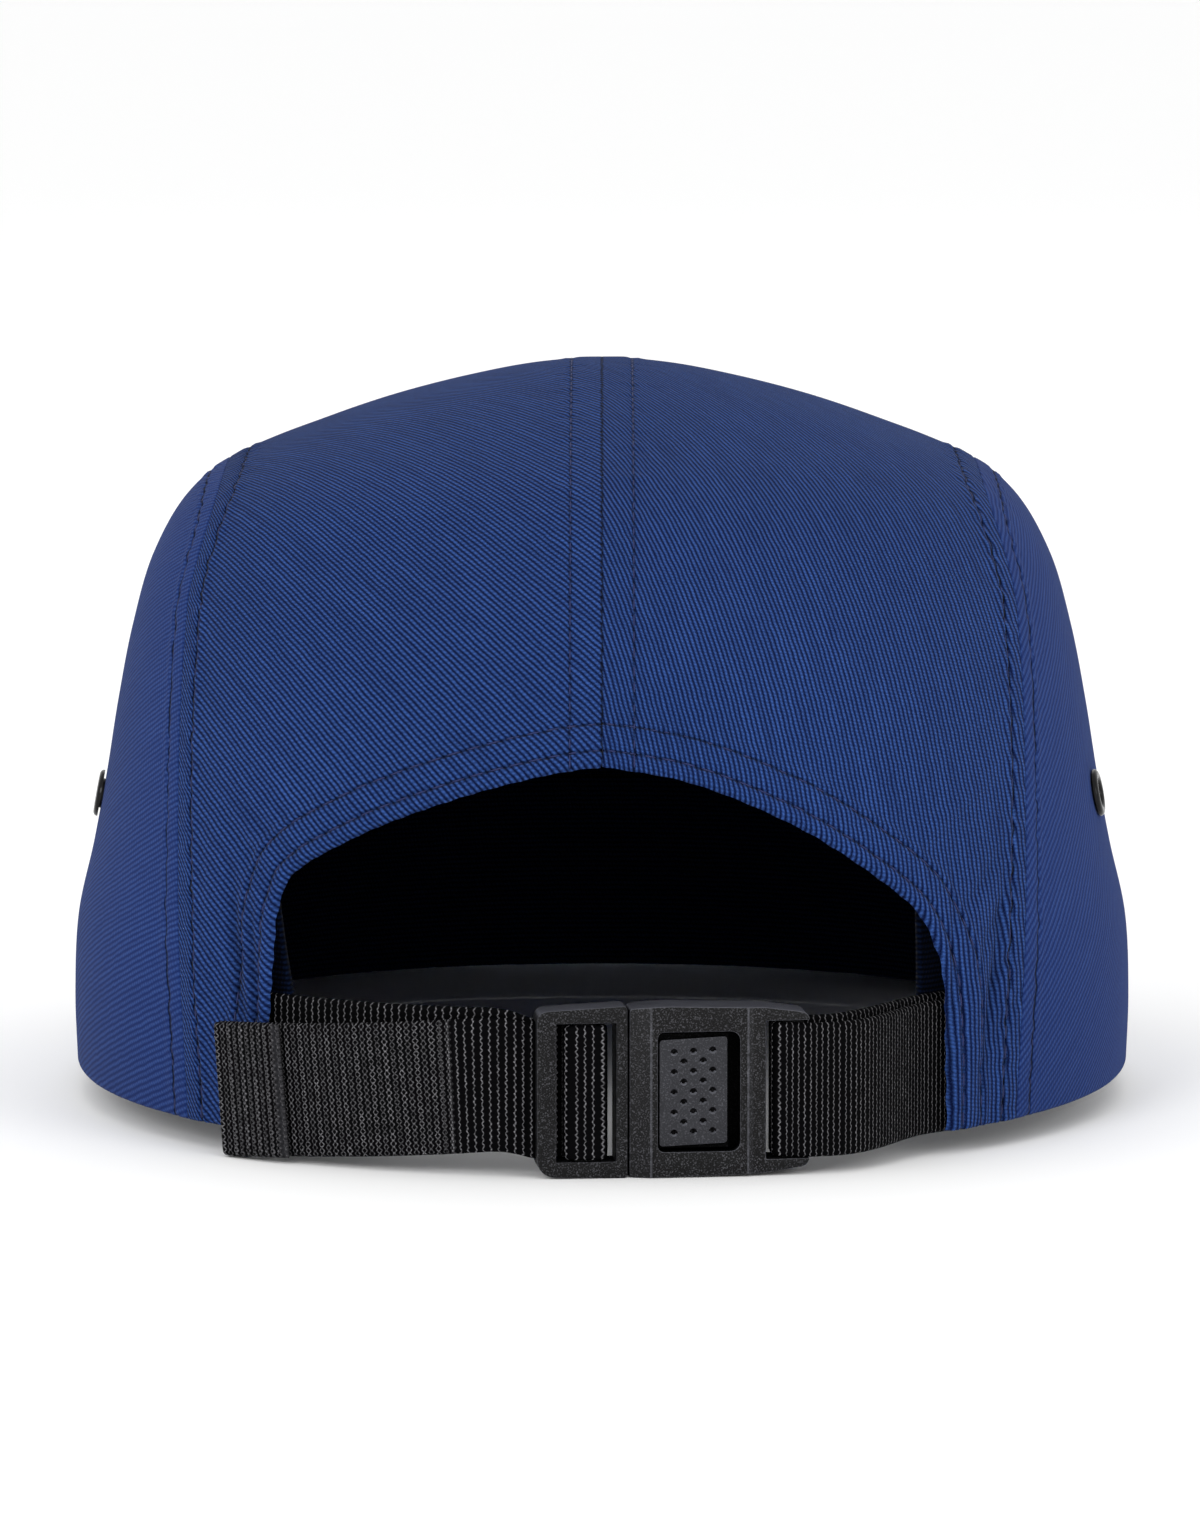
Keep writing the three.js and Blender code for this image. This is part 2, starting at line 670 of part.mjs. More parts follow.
function strapRight() {
  const edgeX = -archHalfWidth * archRows[2].right + hemLead;
  const entry = socketEnd + buckleLead;
  const entryX = fromBuckle(entry, 0).x;
  const loopX = socketBarStart - clearance - webbingThickness / 2;
  const awayShare = (x) => THREE.MathUtils.clamp((entryX - x) / (entryX - edgeX), 0, 1);
  const frontHeight = (x) => buckleLevel - webbingShift + loopFrontRise * awayShare(x);
  const backHeight = (x) => buckleLevel + webbingShift + strapRise * awayShare(x);
  const deep = underPanel - layerPitch;
  const deepUnder = { fromOut: deep, toOut: deep };
  const backHidden = { fromX: -strapHiddenX, toX: edgeX - 2 * hemLead, ...deepUnder, count: 3 };
  const backSpan = { fromX: edgeX, toX: entryX - hemLead, fromOut: deep, count: 5 };
  const frontSpan = { fromX: entryX - hemLead, toX: edgeX, toOut: underPanel, count: 5 };
  const under = { fromOut: underPanel, toOut: underPanel };
  const frontHidden = { fromX: edgeX - 2 * hemLead, toX: -strapHiddenX, ...under, count: 3 };
  const backEnd = outsideRim(fromBuckle(entry, -loopOut));
  const frontStart = outsideRim(fromBuckle(entry, loopOut));
  const stations = [
    ...rimStations({ ...backHidden, height: backHeight }),
    ...rimStations({ ...backSpan, toOut: backEnd, height: backHeight }),
    buckleStation(socketBarEnd, -loopOut, webbingShift),
    buckleStation(loopX, -loopOut, 0),
    buckleStation(loopX, loopOut, 0),
    buckleStation(socketBarEnd, loopOut, -webbingShift),
    ...rimStations({ ...frontSpan, fromOut: frontStart, height: frontHeight }),
    ...rimStations({ ...frontHidden, height: frontHeight }),
  ];
  return ribbon(roundCorners(stations, webbingBend));
}

// Buckle

// Outline with rounded corners, each given as [x, z, radius]
function roundedShape(corners) {
  const shape = new THREE.Shape();
  corners.forEach(([x, z, radius], i) => {
    const here = new THREE.Vector2(x, z);
    const [bx, bz] = corners[(i + corners.length - 1) % corners.length];
    const [ax, az] = corners[(i + 1) % corners.length];
    const start = new THREE.Vector2(bx, bz).sub(here).setLength(radius).add(here);
    const end = new THREE.Vector2(ax, az).sub(here).setLength(radius).add(here);
    if (i === 0) shape.moveTo(start.x, start.y);
    else shape.lineTo(start.x, start.y);
    shape.quadraticCurveTo(x, z, end.x, end.y);
  });
  return shape;
}

// Plate with softened edges between two depths, in the buckle's frame
function plate(shape, front, back, edge = buckleEdge) {
  const geometry = new THREE.ExtrudeGeometry(shape, {
    depth: front + back - 2 * edge,
    bevelThickness: edge,
    bevelSize: edge,
    bevelOffset: -edge,
    bevelSegments: 2,
    curveSegments: 3,
  });
  geometry.rotateX(Math.PI / 2);
  geometry.translate(0, back - edge, 0);
  return toManifold(geometry);
}

function intoPlace(solid) {
  const geometry = fromManifold(solid);
  geometry.rotateZ(buckleTurn);
  geometry.translate(buckleSeat.x, buckleSeat.y, buckleLevel);
  return geometry;
}

const cavityBack = bridge + tongueThickness + 2 * clearance - socketFront;

// Tool for one round dimple in the pad's face
function dimple(x, z, faceY) {
  const floorRadius = dimpleFloorShare * dimpleRadius;
  const geometry = new THREE.CylinderGeometry(floorRadius, dimpleRadius, 2 * dimpleDepth, dimpleSides);
  geometry.translate(x, faceY, z);
  return toManifold(geometry);
}

function buckleClip() {
  const half = buckleHeight / 2;
  const frame = plate(
    roundedShape([
      [clipStart, half - clipTaper, clipUpperCorner],
      [clipStart, -half + clipTaper / 2, clipLowerCorner],
      [clipEnd, -half, smallCorner],
      [clipEnd, half, smallCorner],
    ]),
    clipFront,
    clipBack,
  );
  const slot = slotHeight / 2;
  const openings = block(clipLeftBarEnd, clipRightBar, -reach, reach, -slot, slot);
  const passageEnd = clipLeftBarEnd + cutOver;
  const passage = block(clipStart - cutOver, passageEnd, clipBarDepth - clipFront, reach, -slot, slot);
  const barHalf = slot + joinDepth;
  const barBack = clipBarDepth - clipBarFront;
  const bar = block(clipBarStart, clipBarEnd, -clipBarFront, barBack, -barHalf, barHalf);
  const tongueFront = socketFront - bridge - clearance;
  const windowStart = socketStart + windowFromHalves;
  const padStart = windowStart + clearance;
  const tongueEnd = padStart + padLength + clearance;
  const tongueHalf = tongueHeight / 2;
  const tongueRoot = clipEnd - cutOver;
  const tongueBack = tongueThickness - tongueFront;
  const tongue = block(tongueRoot, tongueEnd, -tongueFront, tongueBack, -tongueHalf, tongueHalf);
  const padFace = socketFront - padSunk;
  const padHalf = padHeight / 2;
  const padShape = roundedShape([
    [padStart, padHalf, smallCorner / 2],
    [padStart, -padHalf, smallCorner / 2],
    [padStart + padLength, -padHalf, smallCorner / 2],
    [padStart + padLength, padHalf, smallCorner / 2],
  ]);
  const pad = plate(padShape, padFace, -tongueFront + padRoot, padEdge);
  const dimples = [];
  for (let column = 0; column < dimpleColumns; column += 1) {
    const count = column % 2 === 0 ? dimpleRowsLong : dimpleRowsLong - 1;
    const x = padStart + padLength / 2 + (column - (dimpleColumns - 1) / 2) * dimpleColumnPitch;
    for (let row = 0; row < count; row += 1) {
      dimples.push(dimple(x, (row - (count - 1) / 2) * dimpleRowPitch, -padFace));
    }
  }
  let solid = frame.subtract(openings).subtract(passage).add(bar).add(tongue).add(pad);
  dimples.forEach((tool) => {
    solid = solid.subtract(tool);
  });
  return intoPlace(solid);
}

function buckleSocket() {
  const half = buckleHeight / 2;
  const slot = slotHeight / 2;
  const housing = plate(
    roundedShape([
      [socketStart, half, smallCorner],
      [socketStart, -half, smallCorner],
      [socketBodyEnd, -half + socketTaper / 3, smallCorner],
      [socketEnd, -half + socketTaper, railCorner],
      [socketEnd, half - socketTaper, railCorner],
      [socketBodyEnd, half - socketTaper / 3, smallCorner],
    ]),
    socketFront,
    socketBack,
  );
  const strapSlot = block(socketBodyEnd, socketEnd + cutOver, -reach, reach, -slot, slot);
  const barDepth = socketBarDepth / 2;
  const barHalf = slot + joinDepth;
  const bar = block(socketBarStart, socketBarEnd, -barDepth, barDepth, -barHalf, barHalf);
  const cavityFront = socketFront - bridge;
  const cavityHalf = windowHeight / 2 + clearance;
  const windowStart = socketStart + windowFromHalves;
  const windowEnd = windowStart + windowLength;
  const cavityStart = socketStart - cutOver;
  const cavityEnd = windowEnd + cutOver;
  const cavity = block(cavityStart, cavityEnd, -cavityFront, cavityBack, -cavityHalf, cavityHalf);
  const windowHalf = windowHeight / 2;
  const opening = plate(
    roundedShape([
      [windowStart, windowHalf, smallCorner],
      [windowStart, -windowHalf, smallCorner],
      [windowEnd, -windowHalf, railCorner],
      [windowEnd, windowHalf, railCorner],
    ]),
    socketFront + 2 * cutOver,
    -cavityFront + joinDepth,
    windowEdge,
  );
  return intoPlace(housing.subtract(strapSlot).add(bar).subtract(cavity).subtract(opening));
}

// Assembly

function meshOf(name, geometry, look) {
  const mesh = new THREE.Mesh(geometry, new THREE.MeshStandardMaterial(look));
  mesh.name = name;
  return mesh;
}

function panels() {
  const shell = crownShell();
  const behind = shell.intersect(frontRegion(false));
  const arch = archTool();
  const seats = {
    left: eyeletSeat(1, eyeletLeftY, eyeletLeftLevel),
    right: eyeletSeat(-1, eyeletRightY, eyeletRightLevel),
  };
  const side = (sign, seat) => behind.intersect(sideRegion(sign, true)).subtract(eyeletHole(seat));
  const top = (sign) => behind.intersect(sideRegion(sign, false)).subtract(arch);
  return [
    meshOf('front_panel', fromManifold(shell.intersect(frontRegion(true))), twillBlue),
    meshOf('side_panel_left', fromManifold(side(1, seats.left)), twillBlue),
    meshOf('side_panel_right', fromManifold(side(-1, seats.right)), twillBlue),
    meshOf('top_panel_left', fromManifold(top(1)), twillBlue),
    meshOf('top_panel_right', fromManifold(top(-1)), twillBlue),
    meshOf('eyelet_left', fromManifold(eyelet(seats.left)), metalBlack),
    meshOf('eyelet_right', fromManifold(eyelet(seats.right)), metalBlack),
  ];
}

const cap = new THREE.Group();
cap.add(
  ...panels(),
  meshOf('sweatband', fromManifold(sweatband()), twillBlue),
  meshOf('peak', fromManifold(peak()), twillBlue),
  meshOf('strap_left', fromManifold(strapLeft()), webbingBlack),
  meshOf('strap_right', fromManifold(strapRight()), webbingBlack),
  meshOf('buckle_clip', buckleClip(), plasticBlack),
  meshOf('buckle_socket', buckleSocket(), plasticBlack),
);

// Angle at which the front half and the back half of the cap touch the ground together
function restAngle() {
  const lowest = (angle, side) => {
    let low = Infinity;
    cap.children.forEach((mesh) => {
      const position = mesh.geometry.attributes.position;
      for (let i = 0; i < position.count; i += 1) {
        const y = position.getY(i);
        if (y * side > 0) low = Math.min(low, y * Math.sin(angle) + position.getZ(i) * Math.cos(angle));
      }
    });
    return low;
  };
  let low = -Math.PI / 8;
  let high = Math.PI / 8;
  for (let round = 0; round < 40; round += 1) {
    const middle = (low + high) / 2;
    if (lowest(middle, 1) < lowest(middle, -1)) low = middle;
    else high = middle;
  }
  return (low + high) / 2;
}

cap.rotation.x = restAngle();
const standing = new THREE.Group();
standing.add(cap);
standing.updateMatrixWorld(true);
const bounds = new THREE.Box3().setFromObject(standing, true);
cap.position.set(-(bounds.min.x + bounds.max.x) / 2, -(bounds.min.y + bounds.max.y) / 2, -bounds.min.z);

export default standing;
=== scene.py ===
"""Dresses a five panel cap in blue cotton twill, with its webbing strap and its push button buckle.

Lengths in the classes are millimetres in the cap's own frame: x to the wearer's left, y to the back and z up,
with the rim at z = 0. Placement turns them into metres in the row frame.
"""

import logging
import math
from dataclasses import dataclass, field
from enum import Enum
from typing import Any, Callable, Sequence

import bmesh
import bpy
import numpy as np
from mathutils import Matrix, Vector, kdtree


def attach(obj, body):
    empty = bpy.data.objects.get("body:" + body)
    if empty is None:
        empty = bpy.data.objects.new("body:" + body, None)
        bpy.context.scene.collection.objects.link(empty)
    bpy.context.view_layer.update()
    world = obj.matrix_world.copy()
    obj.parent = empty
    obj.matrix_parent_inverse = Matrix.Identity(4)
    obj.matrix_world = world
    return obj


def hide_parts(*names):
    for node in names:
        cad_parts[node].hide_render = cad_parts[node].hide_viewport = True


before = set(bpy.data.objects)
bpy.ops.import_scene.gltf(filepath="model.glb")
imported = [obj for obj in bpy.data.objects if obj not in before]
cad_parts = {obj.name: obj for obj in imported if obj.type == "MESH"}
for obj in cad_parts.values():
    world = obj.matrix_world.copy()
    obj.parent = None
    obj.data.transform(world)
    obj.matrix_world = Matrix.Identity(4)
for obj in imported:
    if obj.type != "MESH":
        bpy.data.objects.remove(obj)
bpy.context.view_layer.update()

logging.basicConfig(level=logging.INFO, format="%(message)s")
log = logging.getLogger("five_panel_cap")

MM = 0.001
FAR = 60.0


class Slot(Enum):
    """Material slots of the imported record."""

    TWILL = "twill"
    WEBBING = "webbing"
    BUCKLE = "buckle"
    EYELET = "eyelet"


class Pole(Enum):
    """Axis of the angles that chart a part of the crown."""

    ACROSS = "across"
    UP = "up"


class Weave(Enum):
    """Weaves of the webbing's face, where it isn't plain ribs."""

    CHAIN = "chain"
    ZIGZAG = "zigzag"


# Numbers and curves


def smooth_value(column: np.ndarray, place: np.ndarray, even: bool) -> np.ndarray:
    """Smooth values of a table's column at places counted in rows.

    Args:
        column: The column's values.
        place: Places counted in rows.
        even: Whether the column goes on mirrored past its last row, and not turned over.

    Returns:
        One value for each place.
    """
    last = len(column) - 1
    beyond = column[last - 1] if even else 2 * column[last] - column[last - 1]
    padded = np.concatenate([[2 * column[0] - column[1]], column, [beyond]])
    index = np.clip(np.floor(place).astype(int), 0, last - 1)
    t = place - index
    p0, p1, p2, p3 = (padded[index + k] for k in range(4))
    slope_in, slope_out = (p2 - p0) / 2, (p3 - p1) / 2
    t2, t3 = t**2, t**3
    from_in = (2 * t3 - 3 * t2 + 1) * p1 + (t3 - 2 * t2 + t) * slope_in
    return from_in + (3 * t2 - 2 * t3) * p2 + (t3 - t2) * slope_out


def smoothstep(t: np.ndarray) -> np.ndarray:
    """Share that rises smoothly from 0 to 1 as t does, and stays level outside."""
    t = np.clip(t, 0, 1)
    return t * t * (3 - 2 * t)


def bell(distance: np.ndarray, width: float) -> np.ndarray:
    """Bell curve, 1 at distance 0."""
    return np.exp(-((distance / width) ** 2))


def unit(vectors: np.ndarray) -> np.ndarray:
    """Vectors at length 1."""
    return vectors / np.maximum(np.linalg.norm(vectors, axis=-1, keepdims=True), 1e-12)


def ripple(station: np.ndarray, length: float, seed: float) -> np.ndarray:
    """Uneven waves along a line.

    Args:
        station: Places along the line.
        length: Usual length of one wave.
        seed: Start of the waves, so that no two lines look alike.

    Returns:
        Heights between about -1 and 1.
    """
    turn = 2 * math.pi * station / length
    return (
        0.5 * np.sin(turn + 1.7 * seed)
        + 0.3 * np.sin(1.73 * turn + 4.1 * seed)
        + 0.25 * np.sin(0.57 * turn + 2.3 * seed)
    )


def lengths_along(curve: np.ndarray) -> np.ndarray:
    """Distance from a curve's start to each of its points."""
    steps = np.linalg.norm(np.diff(curve, axis=0), axis=1)
    return np.concatenate([[0.0], np.cumsum(steps)])


def resample(curve: np.ndarray, shares: np.ndarray) -> np.ndarray:
    """Walks along a curve.

    Args:
        curve: Points of the curve.
        shares: Shares of its length.

    Returns:
        The curve's points at these shares.
    """
    along = lengths_along(curve)
    wanted = shares * along[-1]
    return np.stack([np.interp(wanted, along, curve[:, k]) for k in range(curve.shape[1])], axis=1)


def split(curve: np.ndarray, share: float) -> tuple[np.ndarray, np.ndarray]:
    """A curve cut in two at a share of its length."""
    return resample(curve, np.linspace(0, share, 400)), resample(curve, np.linspace(share, 1, 400))


def stations(cells: int) -> np.ndarray:
    """Places for the rows of a grid whose edges are rolled.

    Args:
        cells: Number of even cells.

    Returns:
        Shares from 0 to 1, with the first and the last cell cut finer.
    """
    even = np.arange(cells + 1) / cells
    fine = np.array([0.15, 0.35, 0.62]) / cells
    return np.concatenate([[0.0], fine, even[1:-1], 1 - fine[::-1], [1.0]])


def superellipse(angle: np.ndarray, fullness: float) -> tuple[np.ndarray, np.ndarray]:
    """Walks round a superellipse of half width and half length 1.

    Args:
        angle: Angles from its middle.
        fullness: Its exponent, 2 for an ellipse.

    Returns:
        The two coordinates of its points.
    """
    cos, sin = np.cos(angle), np.sin(angle)
    radius = (np.abs(cos) ** fullness + np.abs(sin) ** fullness) ** (-1 / fullness)
    return radius * cos, radius * sin


# Crown form


@dataclass(frozen=True)
class Placement:
    """The cap's place in the row frame: the small turn at which it rests, and then a shift."""

    tilt_deg: float = -0.779
    shift: tuple[float, float, float] = (0.0, 30.827, 4.744)

    def points(self, points: np.ndarray) -> np.ndarray:
        """Points of the cap's frame in metres in the row frame."""
        return (self.turned(points) + np.array(self.shift)) * MM

    def turned(self, vectors: np.ndarray) -> np.ndarray:
        """Turns directions of the cap's frame.

        Args:
            vectors: Directions, or points as seen from the frame's origin.

        Returns:
            The same in the row frame.
        """
        a = math.radians(self.tilt_deg)
        turn = np.array([[1, 0, 0], [0, math.cos(a), -math.sin(a)], [0, math.sin(a), math.cos(a)]])
        return vectors @ turn.T


PLACEMENT = Placement()


@dataclass(frozen=True)
class SeamSizes:
    """Cloth sizes that all panels share."""

    gap: float = 0.06
    wall: float = 1.5
    stitch_pitch: float = 3.0


SEAMS = SeamSizes()


@dataclass
class Crown:
    """Smooth outer form of the crown: level superellipses from the rim to the top."""

    height: float = 109.0
    half_width: float = 83.0
    half_length: float = 98.0
    fullness: float = 2.15
    centre: tuple[float, float, float] = (0.0, -7.6, 30.0)
    reach: float = 170.0
    front_seam_at_rim: float = 46.0
    front_seam_lean: float = 8.0
    # height, width, length and shift as shares of the crown's sizes
    rows: tuple[tuple[float, float, float, float], ...] = (
        (0.0, 0.996, 0.998, 0.0),
        (0.101, 1.0, 1.0, 0.0),
        (0.211, 0.993, 0.994, -0.003),
        (0.312, 0.964, 0.977, -0.01),
        (0.413, 0.939, 0.954, -0.015),
        (0.518, 0.917, 0.921, -0.024),
        (0.624, 0.89, 0.867, -0.04),
        (0.725, 0.851, 0.787, -0.058),
        (0.812, 0.782, 0.688, -0.068),
        (0.867, 0.675, 0.595, -0.07),
        (0.908, 0.542, 0.493, -0.072),
        (0.943, 0.41, 0.383, -0.073),
        (0.972, 0.269, 0.26, -0.075),
        (0.993, 0.133, 0.13, -0.077),
        (1.0, 0.0, 0.0, -0.078),
    )
    # height and place across of the side seams
    side_seam: tuple[tuple[float, float], ...] = (
        (-0.2, 0.748),
        (0.0, 0.751),
        (0.33, 0.771),
        (0.69, 0.763),
        (0.87, 0.705),
        (1.2, 0.69),
    )
    tables: dict[str, np.ndarray] = field(default_factory=dict)

    def __post_init__(self) -> None:
        """Works out dense tables of the rings' sizes by height."""
        rows = np.array(self.rows)
        place = np.linspace(0, len(rows) - 1, 4001)
        self.tables = {
            "z": self.height * smooth_value(rows[:, 0], place, True),
            "width": self.half_width * smooth_value(rows[:, 1], place, False),
            "length": self.half_length * smooth_value(rows[:, 2], place, False),
            "shift": self.half_length * smooth_value(rows[:, 3], place, True),
        }

    def ring(self, z: np.ndarray) -> tuple[np.ndarray, np.ndarray, np.ndarray]:
        """Looks up level rings of the crown.

        Args:
            z: Heights of the rings.

        Returns:
            Their half widths, half lengths and the depths of their middles.
        """
        table = self.tables
        width = np.interp(z, table["z"], table["width"])
        length = np.interp(z, table["z"], table["length"])
        return np.maximum(width, 1e-3), np.maximum(length, 1e-3), np.interp(z, table["z"], table["shift"])

    def outside(self, points: np.ndarray) -> np.ndarray:
        """Tests points against the crown's outer surface.

        Args:
            points: Any points.

        Returns:
            Whether each point is outside.
        """
        width, length, shift = self.ring(points[:, 2])
        across = np.abs(points[:, 0]) / width
        along = np.abs(points[:, 1] - shift) / length
        return (across**self.fullness + along**self.fullness > 1) | (points[:, 2] > self.height)

    def solve(self, point_at: Callable[[np.ndarray], np.ndarray], count: int) -> np.ndarray:
        """Points where lines that start inside the crown leave it.

        Args:
            point_at: Gives the points of all lines at their distances from the start.
            count: Number of lines.

        Returns:
            One point of the surface for each line.
        """
        low, high = np.zeros(count), np.full(count, self.reach)
        for _ in range(30):
            middle = (low + high) / 2
            out = self.outside(point_at(middle))
            high = np.where(out, middle, high)
            low = np.where(out, low, middle)
        return point_at((low + high) / 2)

    def cast(self, directions: np.ndarray) -> np.ndarray:
        """Points of the surface in some directions from the crown's centre."""
        centre = np.array(self.centre)
        return self.solve(lambda far: centre + directions * far[:, None], len(directions))

    def snap(self, points: np.ndarray) -> np.ndarray:
        """Points moved onto the surface, along lines from the crown's centre."""
        return self.cast(unit(points - np.array(self.centre)))

    def normals(self, points: np.ndarray) -> np.ndarray:
        """Outward directions of the surface.

        Args:
            points: Points of the surface.

        Returns:
            One direction for each point.
        """
        out = unit(points - np.array(self.centre))
        helper = np.where(np.abs(out[:, :1]) < 0.7, [[1.0, 0.0, 0.0]], [[0.0, 1.0, 0.0]])
        first = unit(np.cross(out, helper))
        second = np.cross(out, first)
        step = 0.004
        a = self.cast(unit(out + step * first)) - self.cast(unit(out - step * first))
        b = self.cast(unit(out + step * second)) - self.cast(unit(out - step * second))
        normal = unit(np.cross(a, b))
        return normal * np.sign((normal * out).sum(axis=1, keepdims=True))

    def back_y(self, x: np.ndarray, z: np.ndarray) -> np.ndarray:
        """Depth of the back of the crown.

        Args:
            x: Places across.
            z: Heights.

        Returns:
            One depth for each pair.
        """
        width, length, shift = self.ring(z)
        ratio = np.clip(np.abs(x) / width, 0, 1)
        return shift + length * (1 - ratio**self.fullness) ** (1 / self.fullness)

    def side_seam_x(self, z: np.ndarray) -> np.ndarray:
        """Place across of the side seams.

        Args:
            z: Heights.

        Returns:
            One place for each height.
        """
        rows = np.array(self.side_seam)
        place = np.interp(z / self.height, rows[:, 0], np.arange(len(rows)))
        return self.half_width * smooth_value(rows[:, 1], place, True)

    def front_seam_y(self, z: np.ndarray) -> np.ndarray:
        """Depth of the leaning front seam at some heights."""
        return -self.front_seam_at_rim - self.front_seam_lean * z / self.height

    def side_seam_curve(self, side: int, back_off: float) -> np.ndarray:
        """A side seam from the rim at the back over the shoulder to the front seam.

        Args:
            side: 1 for the wearer's left and -1 for the right.
            back_off: Distance towards the side at which the curve keeps from the seam itself.

        Returns:
            Points from the rim to the front seam.
        """
        turn = np.radians(np.linspace(-32, 205, 2400))

        def point_at(far: np.ndarray) -> np.ndarray:
            """Finds points of the side seam's surface.

            Args:
                far: Distances from the crown's middle line.

            Returns:
                One point for each distance.
            """
            z = self.centre[2] + far * np.sin(turn)
            x = side * (self.side_seam_x(z) + back_off)
            return np.stack([x, self.centre[1] + far * np.cos(turn), z], axis=1)

        curve = self.solve(point_at, len(turn))
        kept = (curve[:, 2] >= 0) & (curve[:, 1] >= self.front_seam_y(curve[:, 2]) + SEAMS.gap / 2)
        return curve[kept]

    def upright_curve(self, x: float, turn: np.ndarray) -> np.ndarray:
        """The crown's outline in an upright plane from back to front.

        Args:
            x: Place of the plane across.
            turn: Angles of the points round the crown's centre, from the back upwards.

        Returns:
            One point for each angle.
        """

        def point_at(far: np.ndarray) -> np.ndarray:
            """Points at distances from the crown's centre line."""
            y, z = self.centre[1] + far * np.cos(turn), self.centre[2] + far * np.sin(turn)
            return np.stack([np.full_like(far, x), y, z], axis=1)

        return self.solve(point_at, len(turn))

    def front_seam_curve(self, back_off: float) -> np.ndarray:
        """The front seam from the rim on the wearer's left over the top to the right.

        Args:
            back_off: Distance to the back at which the curve keeps from the seam itself.

        Returns:
            Points from rim to rim.
        """
        turn = np.radians(np.linspace(-40, 220, 2400))
        start = self.front_seam_y(np.array(self.centre[2])) + back_off

        def point_at(far: np.ndarray) -> np.ndarray:
            """Finds points of the front seam's leaning plane.

            Args:
                far: Distances from the crown's centre line.

            Returns:
                One point for each distance.
            """
            rise = far * np.sin(turn)
            y = start - self.front_seam_lean * rise / self.height
            return np.stack([far * np.cos(turn), y, self.centre[2] + rise], axis=1)

        curve = self.solve(point_at, len(turn))
        return curve[curve[:, 2] >= 0]

    def level_line(self, angle: np.ndarray, z: np.ndarray) -> np.ndarray:
        """Points of the crown at angles of its level rings.

        Args:
            angle: Angles round the rings.
            z: Heights of the rings.

        Returns:
            One point for each angle.
        """
        width, length, shift = self.ring(z)
        x, y = superellipse(angle, self.fullness)
        return np.stack([width * x, shift + length * y, np.broadcast_to(z, angle.shape)], axis=-1)

    def rim_curve(self, start: np.ndarray, end: np.ndarray) -> np.ndarray:
        """The rim between two of its points.

        Args:
            start: First point.
            end: Last point.

        Returns:
            Points along the shorter way round.
        """
        width, length, shift = self.ring(np.array(0.0))
        first = math.atan2((start[1] - shift) / length, start[0] / width)
        last = math.atan2((end[1] - shift) / length, end[0] / width)
        last += 2 * math.pi * round((first - last) / (2 * math.pi))
        return self.level_line(np.linspace(first, last, 600), np.array(0.0))


CROWN = Crown()


@dataclass(frozen=True)
class Arch:
    """Arched back opening: half widths to both sides by height, as shares of its sizes."""

    height: float = 56.0
    half_width: float = 52.0
    rows: tuple[tuple[float, float, float], ...] = (
        (0.0, 0.98, 1.0),
        (0.2, 0.967, 0.998),
        (0.4, 0.954, 0.988),
        (0.5, 0.946, 0.962),
        (0.6, 0.935, 0.904),
        (0.7, 0.885, 0.781),
        (0.8, 0.715, 0.629),
        (0.87, 0.55, 0.492),
        (0.93, 0.369, 0.346),
        (0.97, 0.212, 0.215),
        (0.99, 0.106, 0.096),
        (1.0, 0.0, 0.0),
    )

    def curve(self, side: int, gap: float) -> np.ndarray:
        """Edge of the opening on one side.

        Args:
            side: 1 for the wearer's left and -1 for the right.
            gap: Gap at the centre seam.

        Returns:
            Points from the rim to the centre seam.
        """
        rows = np.array(self.rows)
        place = np.linspace(0, len(rows) - 1, 900)
        z = self.height * smooth_value(rows[:, 0], place, True)
        x = self.half_width * smooth_value(rows[:, 1 if side > 0 else 2], place, False)
        kept = x > gap / 2
        x, z = x[kept] * side, z[kept]
        return np.stack([x, CROWN.back_y(x, z), z], axis=1)


ARCH = Arch()


# Charts and relief


